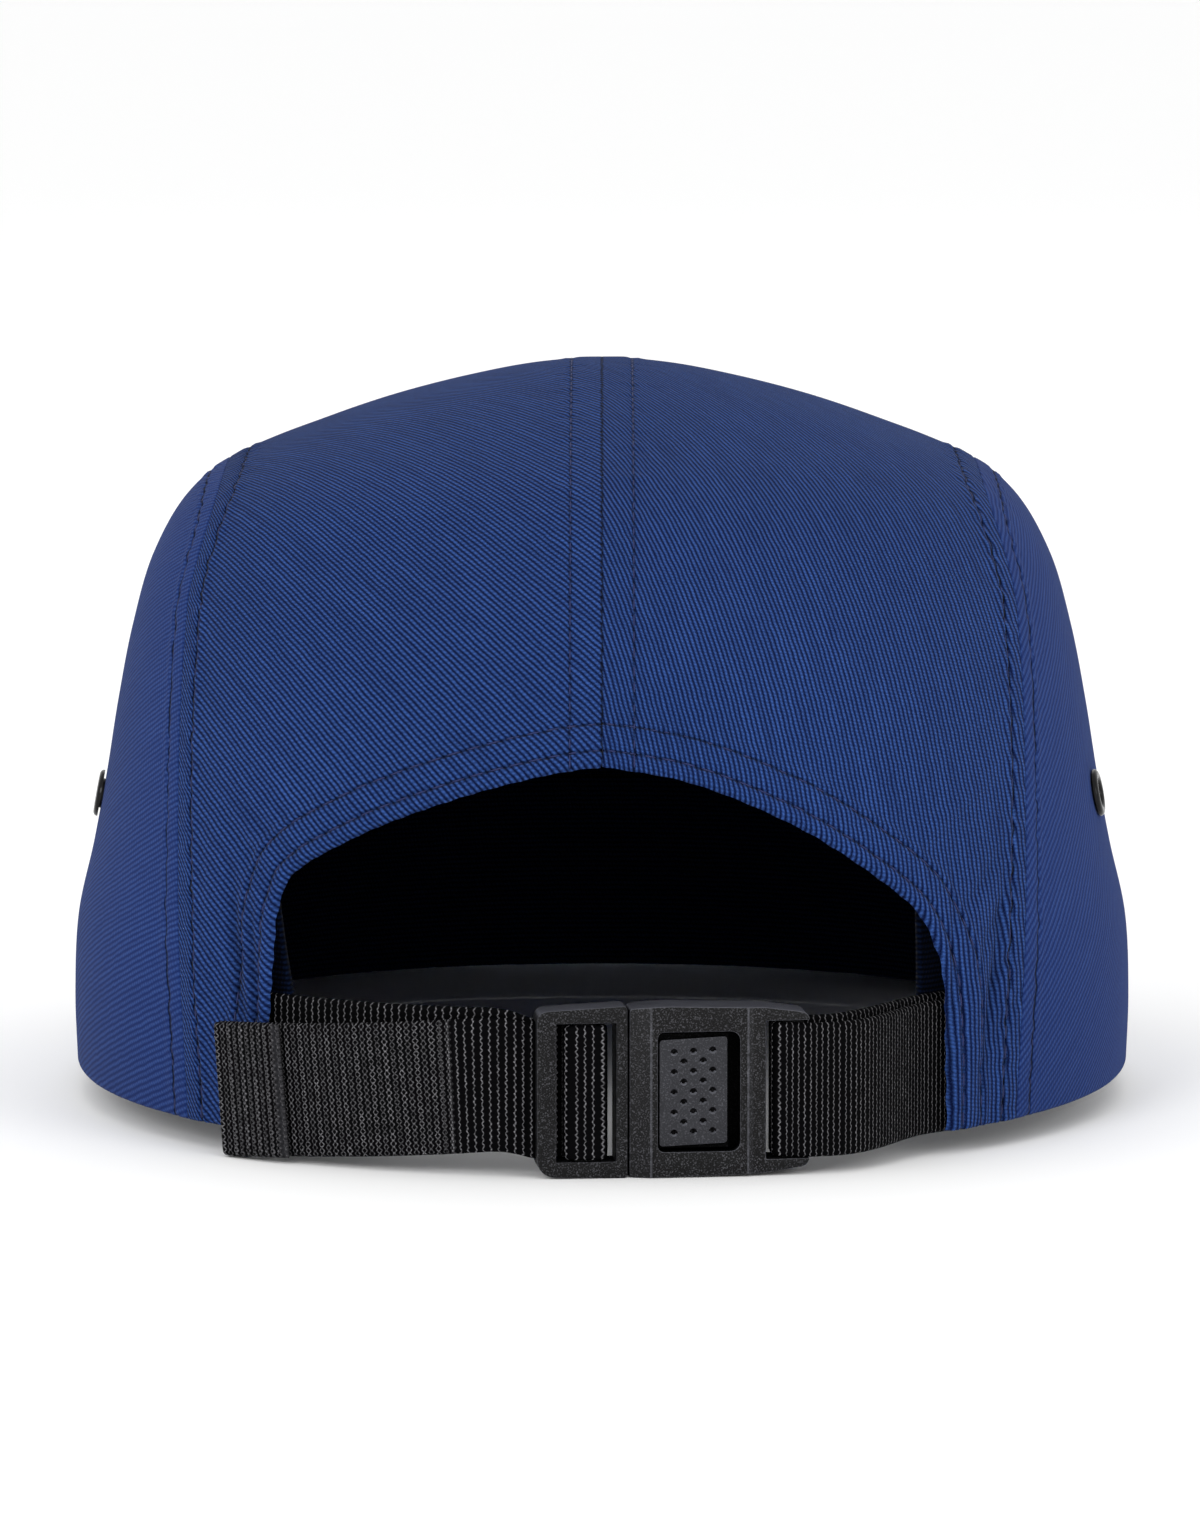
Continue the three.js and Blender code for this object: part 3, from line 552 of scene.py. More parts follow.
@dataclass(frozen=True)
class Chart:
    """Two angles for the points of a part of the crown, seen from the crown's centre."""

    pole: Pole
    side: int = 1
    cells: int = 120
    wide: float = 0.93
    spread: float = 0.1

    def angles(self, points: np.ndarray) -> np.ndarray:
        """Turns points into angles.

        Args:
            points: Points of the crown.

        Returns:
            The two angles of each point.
        """
        out = unit(points - np.array(CROWN.centre))
        if self.pole is Pole.ACROSS:
            return np.stack([np.arcsin(out[:, 0]), self.round_back(out[:, 2], out[:, 1])], axis=1)
        return np.stack([np.arctan2(out[:, 1], self.side * out[:, 0]), np.arcsin(out[:, 2])], axis=1)

    @staticmethod
    def round_back(up: np.ndarray, back: np.ndarray) -> np.ndarray:
        """Angles from the back upwards, counted on over the front."""
        angle = np.arctan2(up, back)
        return np.where(angle < -math.pi / 2, angle + 2 * math.pi, angle)

    def directions(self, angles: np.ndarray) -> np.ndarray:
        """Turns angles into directions from the crown's centre.

        Args:
            angles: Pairs of angles.

        Returns:
            One direction for each pair.
        """
        first, second = angles[:, 0], angles[:, 1]
        if self.pole is Pole.ACROSS:
            x, y, z = np.sin(first), np.cos(first) * np.cos(second), np.cos(first) * np.sin(second)
        else:
            x = self.side * np.cos(second) * np.cos(first)
            y, z = np.cos(second) * np.sin(first), np.sin(second)
        return np.stack([x, y, z], axis=1)

    def flat_map(self, angles: np.ndarray, points: np.ndarray, start: float) -> np.ndarray:
        """Cloth coordinates in millimetres, measured on the surface from a start angle.

        Args:
            angles: Pairs of angles.
            points: The crown's points at these angles.
            start: First angle at which the first coordinate is 0.

        Returns:
            One pair of coordinates for each pair of angles.
        """
        if self.pole is Pole.ACROSS:
            return self.lengthwise_map(points)
        low, high = angles.min(axis=0) - 0.02, angles.max(axis=0) + 0.02
        low[0], high[0] = min(low[0], start), max(high[0], start)
        size = self.cells + 1
        first, second = np.linspace(low[0], high[0], size), np.linspace(low[1], high[1], size)
        grid = np.stack(np.meshgrid(first, second, indexing="ij"), axis=-1)
        points = CROWN.cast(self.directions(grid.reshape(-1, 2))).reshape(size, size, 3)
        across = np.zeros((size, size))
        across[1:] = np.cumsum(np.linalg.norm(np.diff(points, axis=0), axis=2), axis=0)
        across -= np.array([np.interp(start, first, across[:, k]) for k in range(size)])
        along = lengths_along(points[int(np.argmin(np.abs(first - start)))])
        place = ((angles - low) / (high - low) * self.cells).T
        return np.stack([self.between(across, place), np.interp(angles[:, 1], second, along)], axis=1)

    def lengthwise_map(self, points: np.ndarray) -> np.ndarray:
        """Cloth coordinates of a part that runs over the top.

        Args:
            points: Points of the crown.

        Returns:
            Coordinates across the cap, and from the back upwards along lines of equal width.
        """
        across = np.linspace(-CROWN.half_width * self.wide, CROWN.half_width * self.wide, 61)
        turn = np.radians(np.linspace(-36, 216, 253))
        table = np.zeros((len(across), len(turn)))
        for row, x in enumerate(across):
            along = lengths_along(CROWN.upright_curve(x, turn))
            table[row] = along - np.interp(0.0, turn, along)
        angle = self.round_back(points[:, 2] - CROWN.centre[2], points[:, 1] - CROWN.centre[1])
        rows = np.interp(points[:, 0], across, np.arange(float(len(across))))
        columns = np.interp(angle, turn, np.arange(float(len(turn))))
        wide = points[:, 0] * (1 + self.spread * (points[:, 0] / CROWN.half_width) ** 2)
        return np.stack([wide, self.between(table, np.stack([rows, columns]))], axis=1)

    @staticmethod
    def between(table: np.ndarray, place: np.ndarray) -> np.ndarray:
        """Reads a table between its entries.

        Args:
            table: Values by row and column.
            place: Rows and columns, with their fractions.

        Returns:
            One value for each place.
        """
        last = np.array(table.shape)[:, None] - 2
        index = np.clip(np.floor(place).astype(int), 0, last)
        (i, j), (s, t) = index, place - index
        low = table[i, j] * (1 - s) + table[i + 1, j] * s
        high = table[i, j + 1] * (1 - s) + table[i + 1, j + 1] * s
        return low * (1 - t) + high * t


@dataclass(frozen=True)
class EdgeForm:
    """Relief of the cloth near one kind of edge, by the distance from it."""

    rows: tuple[float, ...]
    lift: float
    groove: float = 0.42
    groove_width: float = 0.5
    roll: float = 1.0
    roll_reach: float = 0.85
    pucker: float = 0.1
    pucker_length: float = 5.5
    pucker_reach: float = 2.8
    sway: float = 0.1
    shade: float = 0.8

    def relief(self, distance: np.ndarray, station: np.ndarray, seed: float) -> np.ndarray:
        """Heights over the smooth surface.

        Args:
            distance: Distances from the edge.
            station: Places along the edge.
            seed: Start of the puckers.

        Returns:
            Heights, outwards where positive.
        """
        lip = np.clip(1 - distance / self.roll_reach, 0, 1)
        height = -self.roll * (1 - np.sqrt(1 - lip**2))
        if not self.rows:
            return height
        last = self.rows[-1]
        height = height + self.lift * (1 - smoothstep((distance - last - 0.3) / 1.8))
        knots = 0.8 + 0.2 * np.cos(2 * math.pi * station / SEAMS.stitch_pitch)
        for row in self.rows:
            height = height - self.groove * bell(distance - row, self.groove_width) * knots
        waves = ripple(station, self.pucker_length, seed)
        return height + self.pucker * waves * bell(distance - last, self.pucker_reach)


class EdgeKind(Enum):
    """Kinds of edge that a panel has, with their relief."""

    CENTRE = EdgeForm((4.8,), lift=0.2, groove=0.25, groove_width=0.6, roll=0.12, roll_reach=0.3, shade=0.7)
    SIDE = EdgeForm((3.5,), lift=0.3, roll=0.28, roll_reach=0.4, pucker=0.16, sway=0.22, shade=1.1)
    FRONT = EdgeForm((3.5,), lift=0.3, roll=0.35, roll_reach=0.45)
    HEM = EdgeForm((2.5, 6.7), lift=0.42, roll=1.3, roll_reach=1.2, pucker=0.12, pucker_length=8.0)
    RIM = EdgeForm((), lift=0.0, roll=0.75, roll_reach=0.75)


@dataclass(frozen=True)
class Edge:
    """One edge of a panel."""

    kind: EdgeKind
    curve: np.ndarray

    def nearest(self, points: np.ndarray) -> tuple[np.ndarray, np.ndarray]:
        """Finds the edge's nearest places.

        Args:
            points: Any points.

        Returns:
            The distance from each point to the edge, and the place along the edge.
        """
        along = lengths_along(self.curve)
        count = max(int(along[-1] / 0.2), 8)
        dense = resample(self.curve, np.linspace(0, 1, count + 1))
        tree = kdtree.KDTree(len(dense))
        for index, point in enumerate(dense):
            tree.insert(point, index)
        tree.balance()
        found = [tree.find(point) for point in points]
        distance = np.array([hit[2] for hit in found])
        return distance, np.array([hit[1] for hit in found]) * along[-1] / count


@dataclass(frozen=True)
class Fold:
    """One soft fold: a ridge or, where its height is negative, a valley on the back of the cap."""

    x: float
    z: float
    turn_deg: float
    length: float
    width: float
    height: float

    def relief(self, points: np.ndarray) -> np.ndarray:
        """Heights of the fold.

        Args:
            points: Points of the crown.

        Returns:
            One height for each point, 0 on the front half.
        """
        turn = math.radians(self.turn_deg)
        dx, dz = points[:, 0] - self.x, points[:, 2] - self.z
        along = dx * math.cos(turn) + dz * math.sin(turn)
        across = -dx * math.sin(turn) + dz * math.cos(turn)
        height = self.height * bell(along, self.length) * bell(across, self.width)
        return np.where(points[:, 1] > 0, height, 0.0)


# Meshes


def strip(first: Sequence[int], second: Sequence[int], at_first: np.ndarray, at_second: np.ndarray) -> list:
    """Triangles between two rows of points of different counts.

    Args:
        first: Vertex numbers of one row.
        second: Vertex numbers of the other row.
        at_first: Rising places of the first row's points.
        at_second: Rising places of the second row's points.

    Returns:
        Triangles that turn from the first row to the second.
    """
    triangles, i, j = [], 0, 0
    while i < len(first) - 1 or j < len(second) - 1:
        on_first = j == len(second) - 1 or (i < len(first) - 1 and at_first[i + 1] <= at_second[j + 1])
        if on_first:
            triangles.append((first[i], first[i + 1], second[j]))
            i += 1
        else:
            triangles.append((first[i], second[j + 1], second[j]))
            j += 1
    return triangles


@dataclass
class Patch:
    """Closed shell over a grid: a fine outer face, a coarser inner face and an edge between them."""

    outer: np.ndarray
    inner: np.ndarray
    outer_uv: np.ndarray
    inner_uv: np.ndarray
    step: int
    marks: dict[str, np.ndarray] = field(default_factory=dict)

    def parts(self) -> tuple[np.ndarray, list, np.ndarray, dict[str, np.ndarray]]:
        """Joins the two faces of the shell.

        Returns:
            Vertices, faces, cloth coordinates and further values of the shell.
        """
        rows, columns = self.outer.shape[:2]
        fine_i, fine_j = np.arange(rows), np.arange(columns)
        coarse_i = np.unique(np.append(fine_i[:: self.step], rows - 1))
        coarse_j = np.unique(np.append(fine_j[:: self.step], columns - 1))
        fine = np.arange(rows * columns).reshape(rows, columns)
        coarse = rows * columns + np.arange(len(coarse_i) * len(coarse_j)).reshape(len(coarse_i), -1)
        kept = np.ix_(coarse_i, coarse_j)
        vertices = np.concatenate([self.outer.reshape(-1, 3), self.inner[kept].reshape(-1, 3)])
        uv = np.concatenate([self.outer_uv.reshape(-1, 2), self.inner_uv[kept].reshape(-1, 2)])
        faces = [*self.quads(fine), *(face[::-1] for face in self.quads(coarse))]
        faces += [face[::-1] for face in strip(fine[:, 0], coarse[:, 0], fine_i, coarse_i)]
        faces += strip(fine[:, -1], coarse[:, -1], fine_i, coarse_i)
        faces += strip(fine[0], coarse[0], fine_j, coarse_j)
        faces += [face[::-1] for face in strip(fine[-1], coarse[-1], fine_j, coarse_j)]
        normal = np.cross(self.outer[1, 0] - self.outer[0, 0], self.outer[0, 1] - self.outer[0, 0])
        if normal @ (self.outer[0, 0] - self.inner[0, 0]) < 0:
            faces = [face[::-1] for face in faces]
        marks = {}
        for key, value in self.marks.items():
            inside = np.full(coarse.size, 0.0 if key == "crease" else FAR)
            marks[key] = np.concatenate([value.ravel(), inside])
        return vertices, faces, uv, marks

    @staticmethod
    def quads(numbers: np.ndarray) -> list:
        """Four-sided faces of a grid of vertex numbers."""
        corners = (numbers[:-1, :-1], numbers[1:, :-1], numbers[1:, 1:], numbers[:-1, 1:])
        return np.stack([c.ravel() for c in corners], axis=1).tolist()


def add_object(name: str, data: bpy.types.ID) -> bpy.types.Object:
    """Adds an object to the scene.

    Args:
        name: Name of the object.
        data: Its mesh, curve, camera or lamp.

    Returns:
        The new object.
    """
    made = bpy.data.objects.new(name, data)
    bpy.context.scene.collection.objects.link(made)
    return made


def mesh_of(built: bmesh.types.BMesh, name: str) -> bpy.types.Mesh:
    """Ends the work on a mesh.

    Args:
        built: The mesh as it was worked on.
        name: Name of the mesh.

    Returns:
        The finished mesh.
    """
    mesh = bpy.data.meshes.new(name)
    built.to_mesh(mesh)
    built.free()
    return mesh


def baked(piece: bpy.types.Object) -> bpy.types.Mesh:
    """Plain mesh of an object as its modifiers leave it."""
    graph = bpy.context.evaluated_depsgraph_get()
    return bpy.data.meshes.new_from_object(piece.evaluated_get(graph))


def mesh_object(
    name: str,
    vertices: np.ndarray,
    faces: list,
    uv: np.ndarray | None = None,
    marks: dict[str, np.ndarray] | None = None,
) -> bpy.types.Object:
    """Makes a smooth mesh object from points in the cap's frame.

    Args:
        name: Name of the piece.
        vertices: Points in millimetres.
        faces: Lists of vertex numbers.
        uv: Cloth coordinates of the vertices, in millimetres.
        marks: Further values of the vertices by attribute name.

    Returns:
        The new object, with its place in its mesh.
    """
    mesh = bpy.data.meshes.new(name)
    mesh.from_pydata(PLACEMENT.points(vertices).tolist(), [], faces)
    mesh.polygons.foreach_set("use_smooth", [True] * len(mesh.polygons))
    if uv is not None:
        numbers = np.zeros(len(mesh.loops), dtype=np.int32)
        mesh.loops.foreach_get("vertex_index", numbers)
        mesh.uv_layers.new(name="cloth").data.foreach_set("uv", uv[numbers].astype(np.float32).ravel())
    for key, values in (marks or {}).items():
        layer = mesh.attributes.new(key, "FLOAT", "POINT")
        layer.data.foreach_set("value", values.astype(np.float32))
    mesh.update()
    return add_object(name, mesh)


def sharpen(piece: bpy.types.Object, angle_deg: float) -> None:
    """Keeps steep edges sharp in the shading.

    Args:
        piece: The object that is changed.
        angle_deg: Angle between two faces from which their edge is sharp.
    """
    built = bmesh.new()
    built.from_mesh(piece.data)
    limit = math.radians(angle_deg)
    for edge in built.edges:
        edge.smooth = len(edge.link_faces) != 2 or edge.calc_face_angle(0.0) < limit
    built.to_mesh(piece.data)
    built.free()


class Joining(Enum):
    """Ways of joining two solids."""

    UNION = "UNION"
    DIFFERENCE = "DIFFERENCE"
    INTERSECT = "INTERSECT"


def combine(piece: bpy.types.Object, tool: bpy.types.Object, joining: Joining) -> None:
    """Joins a tool to a piece or cuts it away, and removes the tool.

    Args:
        piece: The object that is changed.
        tool: The other solid.
        joining: What is done with the tool.
    """
    modifier = piece.modifiers.new("combine", "BOOLEAN")
    modifier.operation, modifier.solver, modifier.object = joining.value, "EXACT", tool
    mesh = baked(piece)
    piece.modifiers.remove(modifier)
    mesh.name = piece.name
    piece.data = mesh
    bpy.data.objects.remove(tool)


def finish_piece(
    piece: bpy.types.Object, material: bpy.types.Material, slot: Slot, nodes: Sequence[str] = ()
) -> None:
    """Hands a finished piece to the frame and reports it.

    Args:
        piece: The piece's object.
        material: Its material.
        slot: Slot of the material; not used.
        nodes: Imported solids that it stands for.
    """
    piece.data.materials.clear()
    piece.data.materials.append(material)
    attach(piece, "root")
    if nodes:
        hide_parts(*nodes)
    log.info("%s: %d faces", piece.name, len(piece.data.polygons))


# Shader tools


@dataclass(frozen=True)
class Value:
    """A shader socket that carries a number, with the operators of Python adding Math nodes."""

    shader: "Shader"
    socket: bpy.types.NodeSocket

    def maths(self, operation: str, *others: "Value | float", clamp: bool = False) -> "Value":
        """Adds one Math node with this value first."""
        return self.shader.maths(operation, self, *others, clamp=clamp)

    def __add__(self, other: "Value | float") -> "Value":
        """Sum."""
        return self.maths("ADD", other)

    def __sub__(self, other: "Value | float") -> "Value":
        """Difference."""
        return self.maths("SUBTRACT", other)

    def __rsub__(self, other: float) -> "Value":
        """Difference from a number."""
        return self.shader.maths("SUBTRACT", other, self)

    def __mul__(self, other: "Value | float") -> "Value":
        """Product."""
        return self.maths("MULTIPLY", other)

    def __truediv__(self, other: "Value | float") -> "Value":
        """Quotient."""
        return self.maths("DIVIDE", other)

    __radd__ = __add__
    __rmul__ = __mul__


class Shader:
    """Builds one procedural material."""

    def __init__(self, name: str) -> None:
        """Starts an empty material.

        Args:
            name: Name of the material.
        """
        self.material = bpy.data.materials.new(name)
        self.material.use_nodes = True
        self.tree = self.material.node_tree
        self.tree.nodes.clear()

    def node(self, kind: str, settings: dict[str, Any] | None = None, **sockets: Any) -> bpy.types.Node:
        """Adds a node.

        Args:
            kind: Type of the node.
            settings: Its settings, set before its sockets.
            sockets: Values or links of its inputs, by name with underscores for spaces, or as i and a number.

        Returns:
            The new node.
        """
        made = self.tree.nodes.new(kind)
        for key, value in (settings or {}).items():
            setattr(made, key, value)
        for key, value in sockets.items():
            numbered = key[0] == "i" and key[1:].isdigit()
            socket = made.inputs[int(key[1:]) if numbered else key.replace("_", " ")]
            if isinstance(value, Value):
                value = value.socket
            if isinstance(value, bpy.types.NodeSocket):
                self.tree.links.new(value, socket)
            else:
                socket.default_value = value
        return made

    def maths(self, operation: str, *inputs: Value | float, clamp: bool = False) -> Value:
        """Adds a Math node.

        Args:
            operation: What the node works out.
            inputs: Its inputs.
            clamp: Whether its result is kept between 0 and 1.

        Returns:
            Its result.
        """
        settings = {"operation": operation, "use_clamp": clamp}
        made = self.node("ShaderNodeMath", settings, **{f"i{k}": value for k, value in enumerate(inputs)})
        return Value(self, made.outputs[0])

    def noise(self, scale: float, place: Any = None, detail: float = 2.0) -> Value:
        """Adds cloudy noise.

        Args:
            scale: Clouds per unit of the place.
            place: A link to the place, which is the object's own coordinates if not given.
            detail: How many finer layers the noise has.

        Returns:
            The noise, between 0 and 1.
        """
        place = self.node("ShaderNodeTexCoord").outputs["Object"] if place is None else place
        settings = {"noise_dimensions": "3D"}
        made = self.node("ShaderNodeTexNoise", settings, Vector=place, Scale=scale, Detail=detail)
        return Value(self, made.outputs["Fac"])

    def cloth_place(self) -> tuple[Value, Value, bpy.types.NodeSocket]:
        """Reads the cloth coordinates.

        Returns:
            The coordinates in millimetres as two numbers and as a vector.
        """
        place = self.node("ShaderNodeUVMap", {"uv_map": "cloth"}).outputs["UV"]
        parts = self.node("ShaderNodeSeparateXYZ", Vector=place)
        return Value(self, parts.outputs["X"]), Value(self, parts.outputs["Y"]), place

    def vector(self, x: Value, y: Value) -> bpy.types.NodeSocket:
        """Joins two numbers to a vector."""
        return self.node("ShaderNodeCombineXYZ", X=x, Y=y).outputs["Vector"]

    def mark(self, name: str) -> Value:
        """A value stored on the mesh."""
        return Value(self, self.node("ShaderNodeAttribute", {"attribute_name": name}).outputs["Fac"])

    def mix(self, share: Value | float, first: Any, second: Any, blend: str = "MIX") -> bpy.types.NodeSocket:
        """Mixes two colours.

        Args:
            share: Share of the second colour.
            first: A link or three numbers.
            second: A link or three numbers.
            blend: Kind of mixing.

        Returns:
            The mixed colour.
        """
        settings = {"data_type": "RGBA", "blend_type": blend}
        first, second = ((*c, 1.0) if isinstance(c, tuple) else c for c in (first, second))
        return self.node("ShaderNodeMix", settings, i0=share, i6=first, i7=second).outputs[2]

    def wave(self, place: Value) -> Value:
        """Wave between 0 and 1 with one crest for each whole number of the place, crest first."""
        return (place * (2 * math.pi)).maths("COSINE") * 0.5 + 0.5

    def bump(self, height: Value, depth: float) -> bpy.types.NodeSocket:
        """Normal of a relief whose height of 1 is the depth in metres."""
        return self.node("ShaderNodeBump", Strength=1.0, Distance=depth, Height=height).outputs["Normal"]

    def surface(self, **sockets: Any) -> bpy.types.NodeSocket:
        """A Principled shader with these inputs."""
        return self.node("ShaderNodeBsdfPrincipled", **sockets).outputs[0]

    def ended(self, surface: bpy.types.NodeSocket) -> bpy.types.Material:
        """Ends the material in a shader.

        Args:
            surface: A link to the shader.

        Returns:
            The finished material.
        """
        self.node("ShaderNodeOutputMaterial", Surface=surface)
        return self.material


def srgb(red: float, green: float, blue: float) -> tuple[float, float, float]:
    """Linear colour of three values from 0 to 255."""
    parts = (c / 255 for c in (red, green, blue))
    return tuple(c / 12.92 if c <= 0.04045 else ((c + 0.055) / 1.055) ** 2.4 for c in parts)


# Finishes


@dataclass(frozen=True)
class TwillFinish:
    """Blue cotton twill: slanting ridges of short floats with dark furrows, and sunk rows of stitching, with
    painted shade along the rows and in the valleys of the folds.
    """

    name: str = "blue_twill"
    ridge: tuple[float, float, float] = (50, 81, 145)
    furrow: tuple[float, float, float] = (5, 14, 48)
    lint: tuple[float, float, float] = (110, 136, 184)
    ridge_pitch: float = 0.82
    float_pitch: float = 0.7
    depth: float = 0.22
    cloud: float = 0.16
    row_half: float = 0.34
    row_shade: float = 0.9
    row_depth: float = 1.2
    crease_shade: float = 0.4
    lint_share: float = 0.4

    def material(self) -> bpy.types.Material:
        """Builds the finish.

        Returns:
            The finish as a material.
        """
        s = Shader(self.name)
        across, along, place = s.cloth_place()
        drift = (s.noise(0.3, place, 2.0) - 0.5) * 0.45 + (s.noise(2.6, place, 1.0) - 0.5) * 0.2
        ridge_place = across / self.ridge_pitch + drift
        ridge = s.wave(ridge_place)
        floats = s.wave(along / self.float_pitch + ridge_place * 0.42 + (s.noise(1.5, place) - 0.5) * 0.7)
        yarn = s.noise(6.5, s.vector(across, along * 0.6), 2.0)
        weight = ridge * (0.5 + 0.5 * floats)
        rows = self.rows(s)
        height = weight + yarn * 0.2 - rows * self.row_depth
        streak = s.noise(1.0, s.vector(ridge_place * 1.3, along * 0.07), 1.0) * 0.9 + 0.55
        tone = (weight * streak + (yarn - 0.5) * 0.6).maths("ADD", 0.0, clamp=True)
        cloth = s.mix(tone, srgb(*self.furrow), srgb(*self.ridge))
        cloud = s.noise(16.0, detail=3.0) * self.cloud * 2 + (1 - self.cloud)
        # Painted shade: the cloth darkens in the valleys of the folds and along the rows of stitching and the
        # centre seam, over its own cloudy tone.
        crease = s.mark("crease").maths("MINIMUM", 0.85) * self.crease_shade
        shade = cloud * (1 - rows * self.row_shade) * (1 - crease)
        worn = s.node("ShaderNodeCombineColor", Red=shade, Green=shade, Blue=shade).outputs[0]
        lint = (s.noise(2.4, place, 1.0) - 0.8).maths("MULTIPLY", 7.0, clamp=True)
        colour = s.mix(lint * self.lint_share, s.mix(1.0, cloth, worn, "MULTIPLY"), srgb(*self.lint))
        surface = s.surface(
            Base_Color=colour,
            Roughness=0.95,
            Normal=s.bump(height, self.depth * MM),
            Sheen_Weight=0.03,
            Sheen_Roughness=0.4,
            Specular_IOR_Level=0.05,
        )
        return s.ended(surface)

    def rows(self, s: Shader) -> Value:
        """Draws the rows of stitching and the centre seam from the distances to the edges.

        Args:
            s: The material that is being built.

        Returns:
            Share of stitching row at a point.
        """
        total = self.line(s.mark(EdgeKind.CENTRE.name))
        for kind in EdgeKind:
            for row in kind.value.rows:
                off = (s.mark(kind.name) - row).maths("ABSOLUTE")
                total = total + self.line(off) * kind.value.shade
        return total

    def line(self, off: Value) -> Value:
        """Share of a thin line by the distance from it."""
        return (1 - off / self.row_half).maths("MAXIMUM", 0.0)


@dataclass(frozen=True)
class WebbingFinish:
    """Black webbing: columns of thin grey yarn loops on near-black ribs."""

    name: str = "black_webbing"
    dark: tuple[float, float, float] = (2, 2, 3)
    yarn: tuple[float, float, float] = (146, 145, 149)
    sealed: tuple[float, float, float] = (43, 43, 46)
    loop_pitch: float = 0.95
    loop_half: float = 0.19
    loop_swing: float = 0.13
    yarn_share: float = 0.12
    depth: float = 0.2

    def material(self) -> bpy.types.Material:
        """Builds the finish.

        Returns:
            The finish as a material.
        """
        s = Shader(self.name)
        _, across, place = s.cloth_place()
        columns = s.mark("columns") + (s.noise(0.9, place) - 0.5) * 0.22
        number = columns.maths("FLOOR")
        q = columns.maths("FRACT") - 0.5
        jitter = (s.noise(2.6, place) - 0.5) * 0.35
        swing = ((across / self.loop_pitch + number * 0.5 + jitter) * (2 * math.pi)).maths("COSINE")
        rings = self.line(q.maths("ABSOLUTE") - self.loop_half - swing * self.loop_swing)
        zigzag = self.line(q - swing * 0.2)
        straight = self.line(q + jitter * 0.4 + swing * 0.09)
        chain, zig, seal = s.mark(Weave.CHAIN.value), s.mark(Weave.ZIGZAG.value), s.mark("seal")
        pair = (number * 0.5).maths("FRACT") * 0.9 + 0.55
        line = rings * chain * pair + zigzag * zig * 1.1 + straight * (1 - chain - zig) * 1.25
        beads = s.wave(across / (self.loop_pitch * 0.5) + number * 0.37 + jitter * 2)
        worn = s.noise(0.6, place, 3.0)
        light = (line * (0.3 + 0.7 * beads) * (worn * 1.9 - 0.1)).maths("ADD", 0.0, clamp=True)
        cloth = s.mix(light, srgb(*self.dark), srgb(*self.yarn))
        blotch = (s.noise(1.6, place, 2.0) * 1.6 - 0.2).maths("ADD", 0.0, clamp=True)
        surface = s.surface(
            Base_Color=s.mix(seal * blotch, cloth, srgb(*self.sealed)),
            Roughness=0.7 - seal * 0.2,
            Normal=s.bump(line * (0.6 + 0.4 * beads) * (1 - seal * 0.6) + worn * 0.15, self.depth * MM),
            Specular_IOR_Level=0.03,
        )
        return s.ended(surface)

    def line(self, offset: Value) -> Value:
        """Brightness of a yarn by the distance from its middle, counted in columns."""
        return (1 - offset.maths("ABSOLUTE") / self.yarn_share).maths("MAXIMUM", 0.0)


@dataclass(frozen=True)
class MouldedFinish:
    """Black moulded plastic with a fine sparkling grain, painted light on its upward faces, a lighter pad,
    painted highlights on its edges and painted shade in its recesses.
    """

    name: str = "black_moulded_plastic"
    colour: tuple[float, float, float] = (4, 4, 5)
    grain: tuple[float, float, float] = (104, 104, 110)
    # Colour of the painted light on upward faces, and of the lighter pad.
    dust: tuple[float, float, float] = (74, 75, 82)
    # Colour of the painted highlights on edges, ridges and the dimples' lower walls.
    worn: tuple[float, float, float] = (96, 97, 104)
    depth: float = 0.07
    # Share of the painted shade in recesses.
    recess_share: float = 0.85

    def material(self) -> bpy.types.Material:
        """Builds the finish.

        Returns:
            The finish as a material.
        """
        s = Shader(self.name)
        fine = s.noise(4200.0, detail=1.0)
        coarse = s.noise(1100.0, detail=2.0)
        patchy = s.noise(260.0, detail=3.0)
        speck = (fine - 0.53).maths("MULTIPLY", 6.0, clamp=True)
        colour = s.mix(speck * (0.06 + 0.5 * patchy), srgb(*self.colour), srgb(*self.grain))
        # Painted light: upward faces lighter, and the pad lighter.
        colour = s.mix(s.mark("dust") * (0.45 + 0.5 * patchy), colour, srgb(*self.dust))
        # Painted highlights on slanting edges, upright ridges and the dimples' lower walls.
        colour = s.mix(s.mark("wear") * (coarse * 1.1 - 0.15), colour, srgb(*self.worn))
        lit = s.surface(
            Base_Color=colour,
            Roughness=0.42 + 0.14 * coarse,
            Normal=s.bump(fine * 0.7 + coarse * 0.3, self.depth * MM),
            Specular_IOR_Level=0.17,
        )
        # Painted shade: a black surface mixed in where faces lie deep in the buckle.
        deep = s.surface(Base_Color=(0.001, 0.001, 0.001, 1.0), Specular_IOR_Level=0.0)
        share = s.mark("recess") * self.recess_share
        return s.ended(s.node("ShaderNodeMixShader", i0=share, i1=lit, i2=deep).outputs[0])


@dataclass(frozen=True)
class LacqueredFinish:
    """Glossy black lacquered metal of the eyelets."""

    name: str = "black_lacquered_metal"
    colour: tuple[float, float, float] = (14, 14, 16)
    faded: tuple[float, float, float] = (18, 18, 20)

    def material(self) -> bpy.types.Material:
        """Builds the finish.

        Returns:
            The finish as a material.
        """
        s = Shader(self.name)
        cloud = s.noise(700.0, detail=3.0)
        colour = s.mix(cloud * 0.5, srgb(*self.colour), srgb(*self.faded))
        return s.ended(s.surface(Base_Color=colour, Roughness=0.14 + 0.1 * cloud, Specular_IOR_Level=0.16))


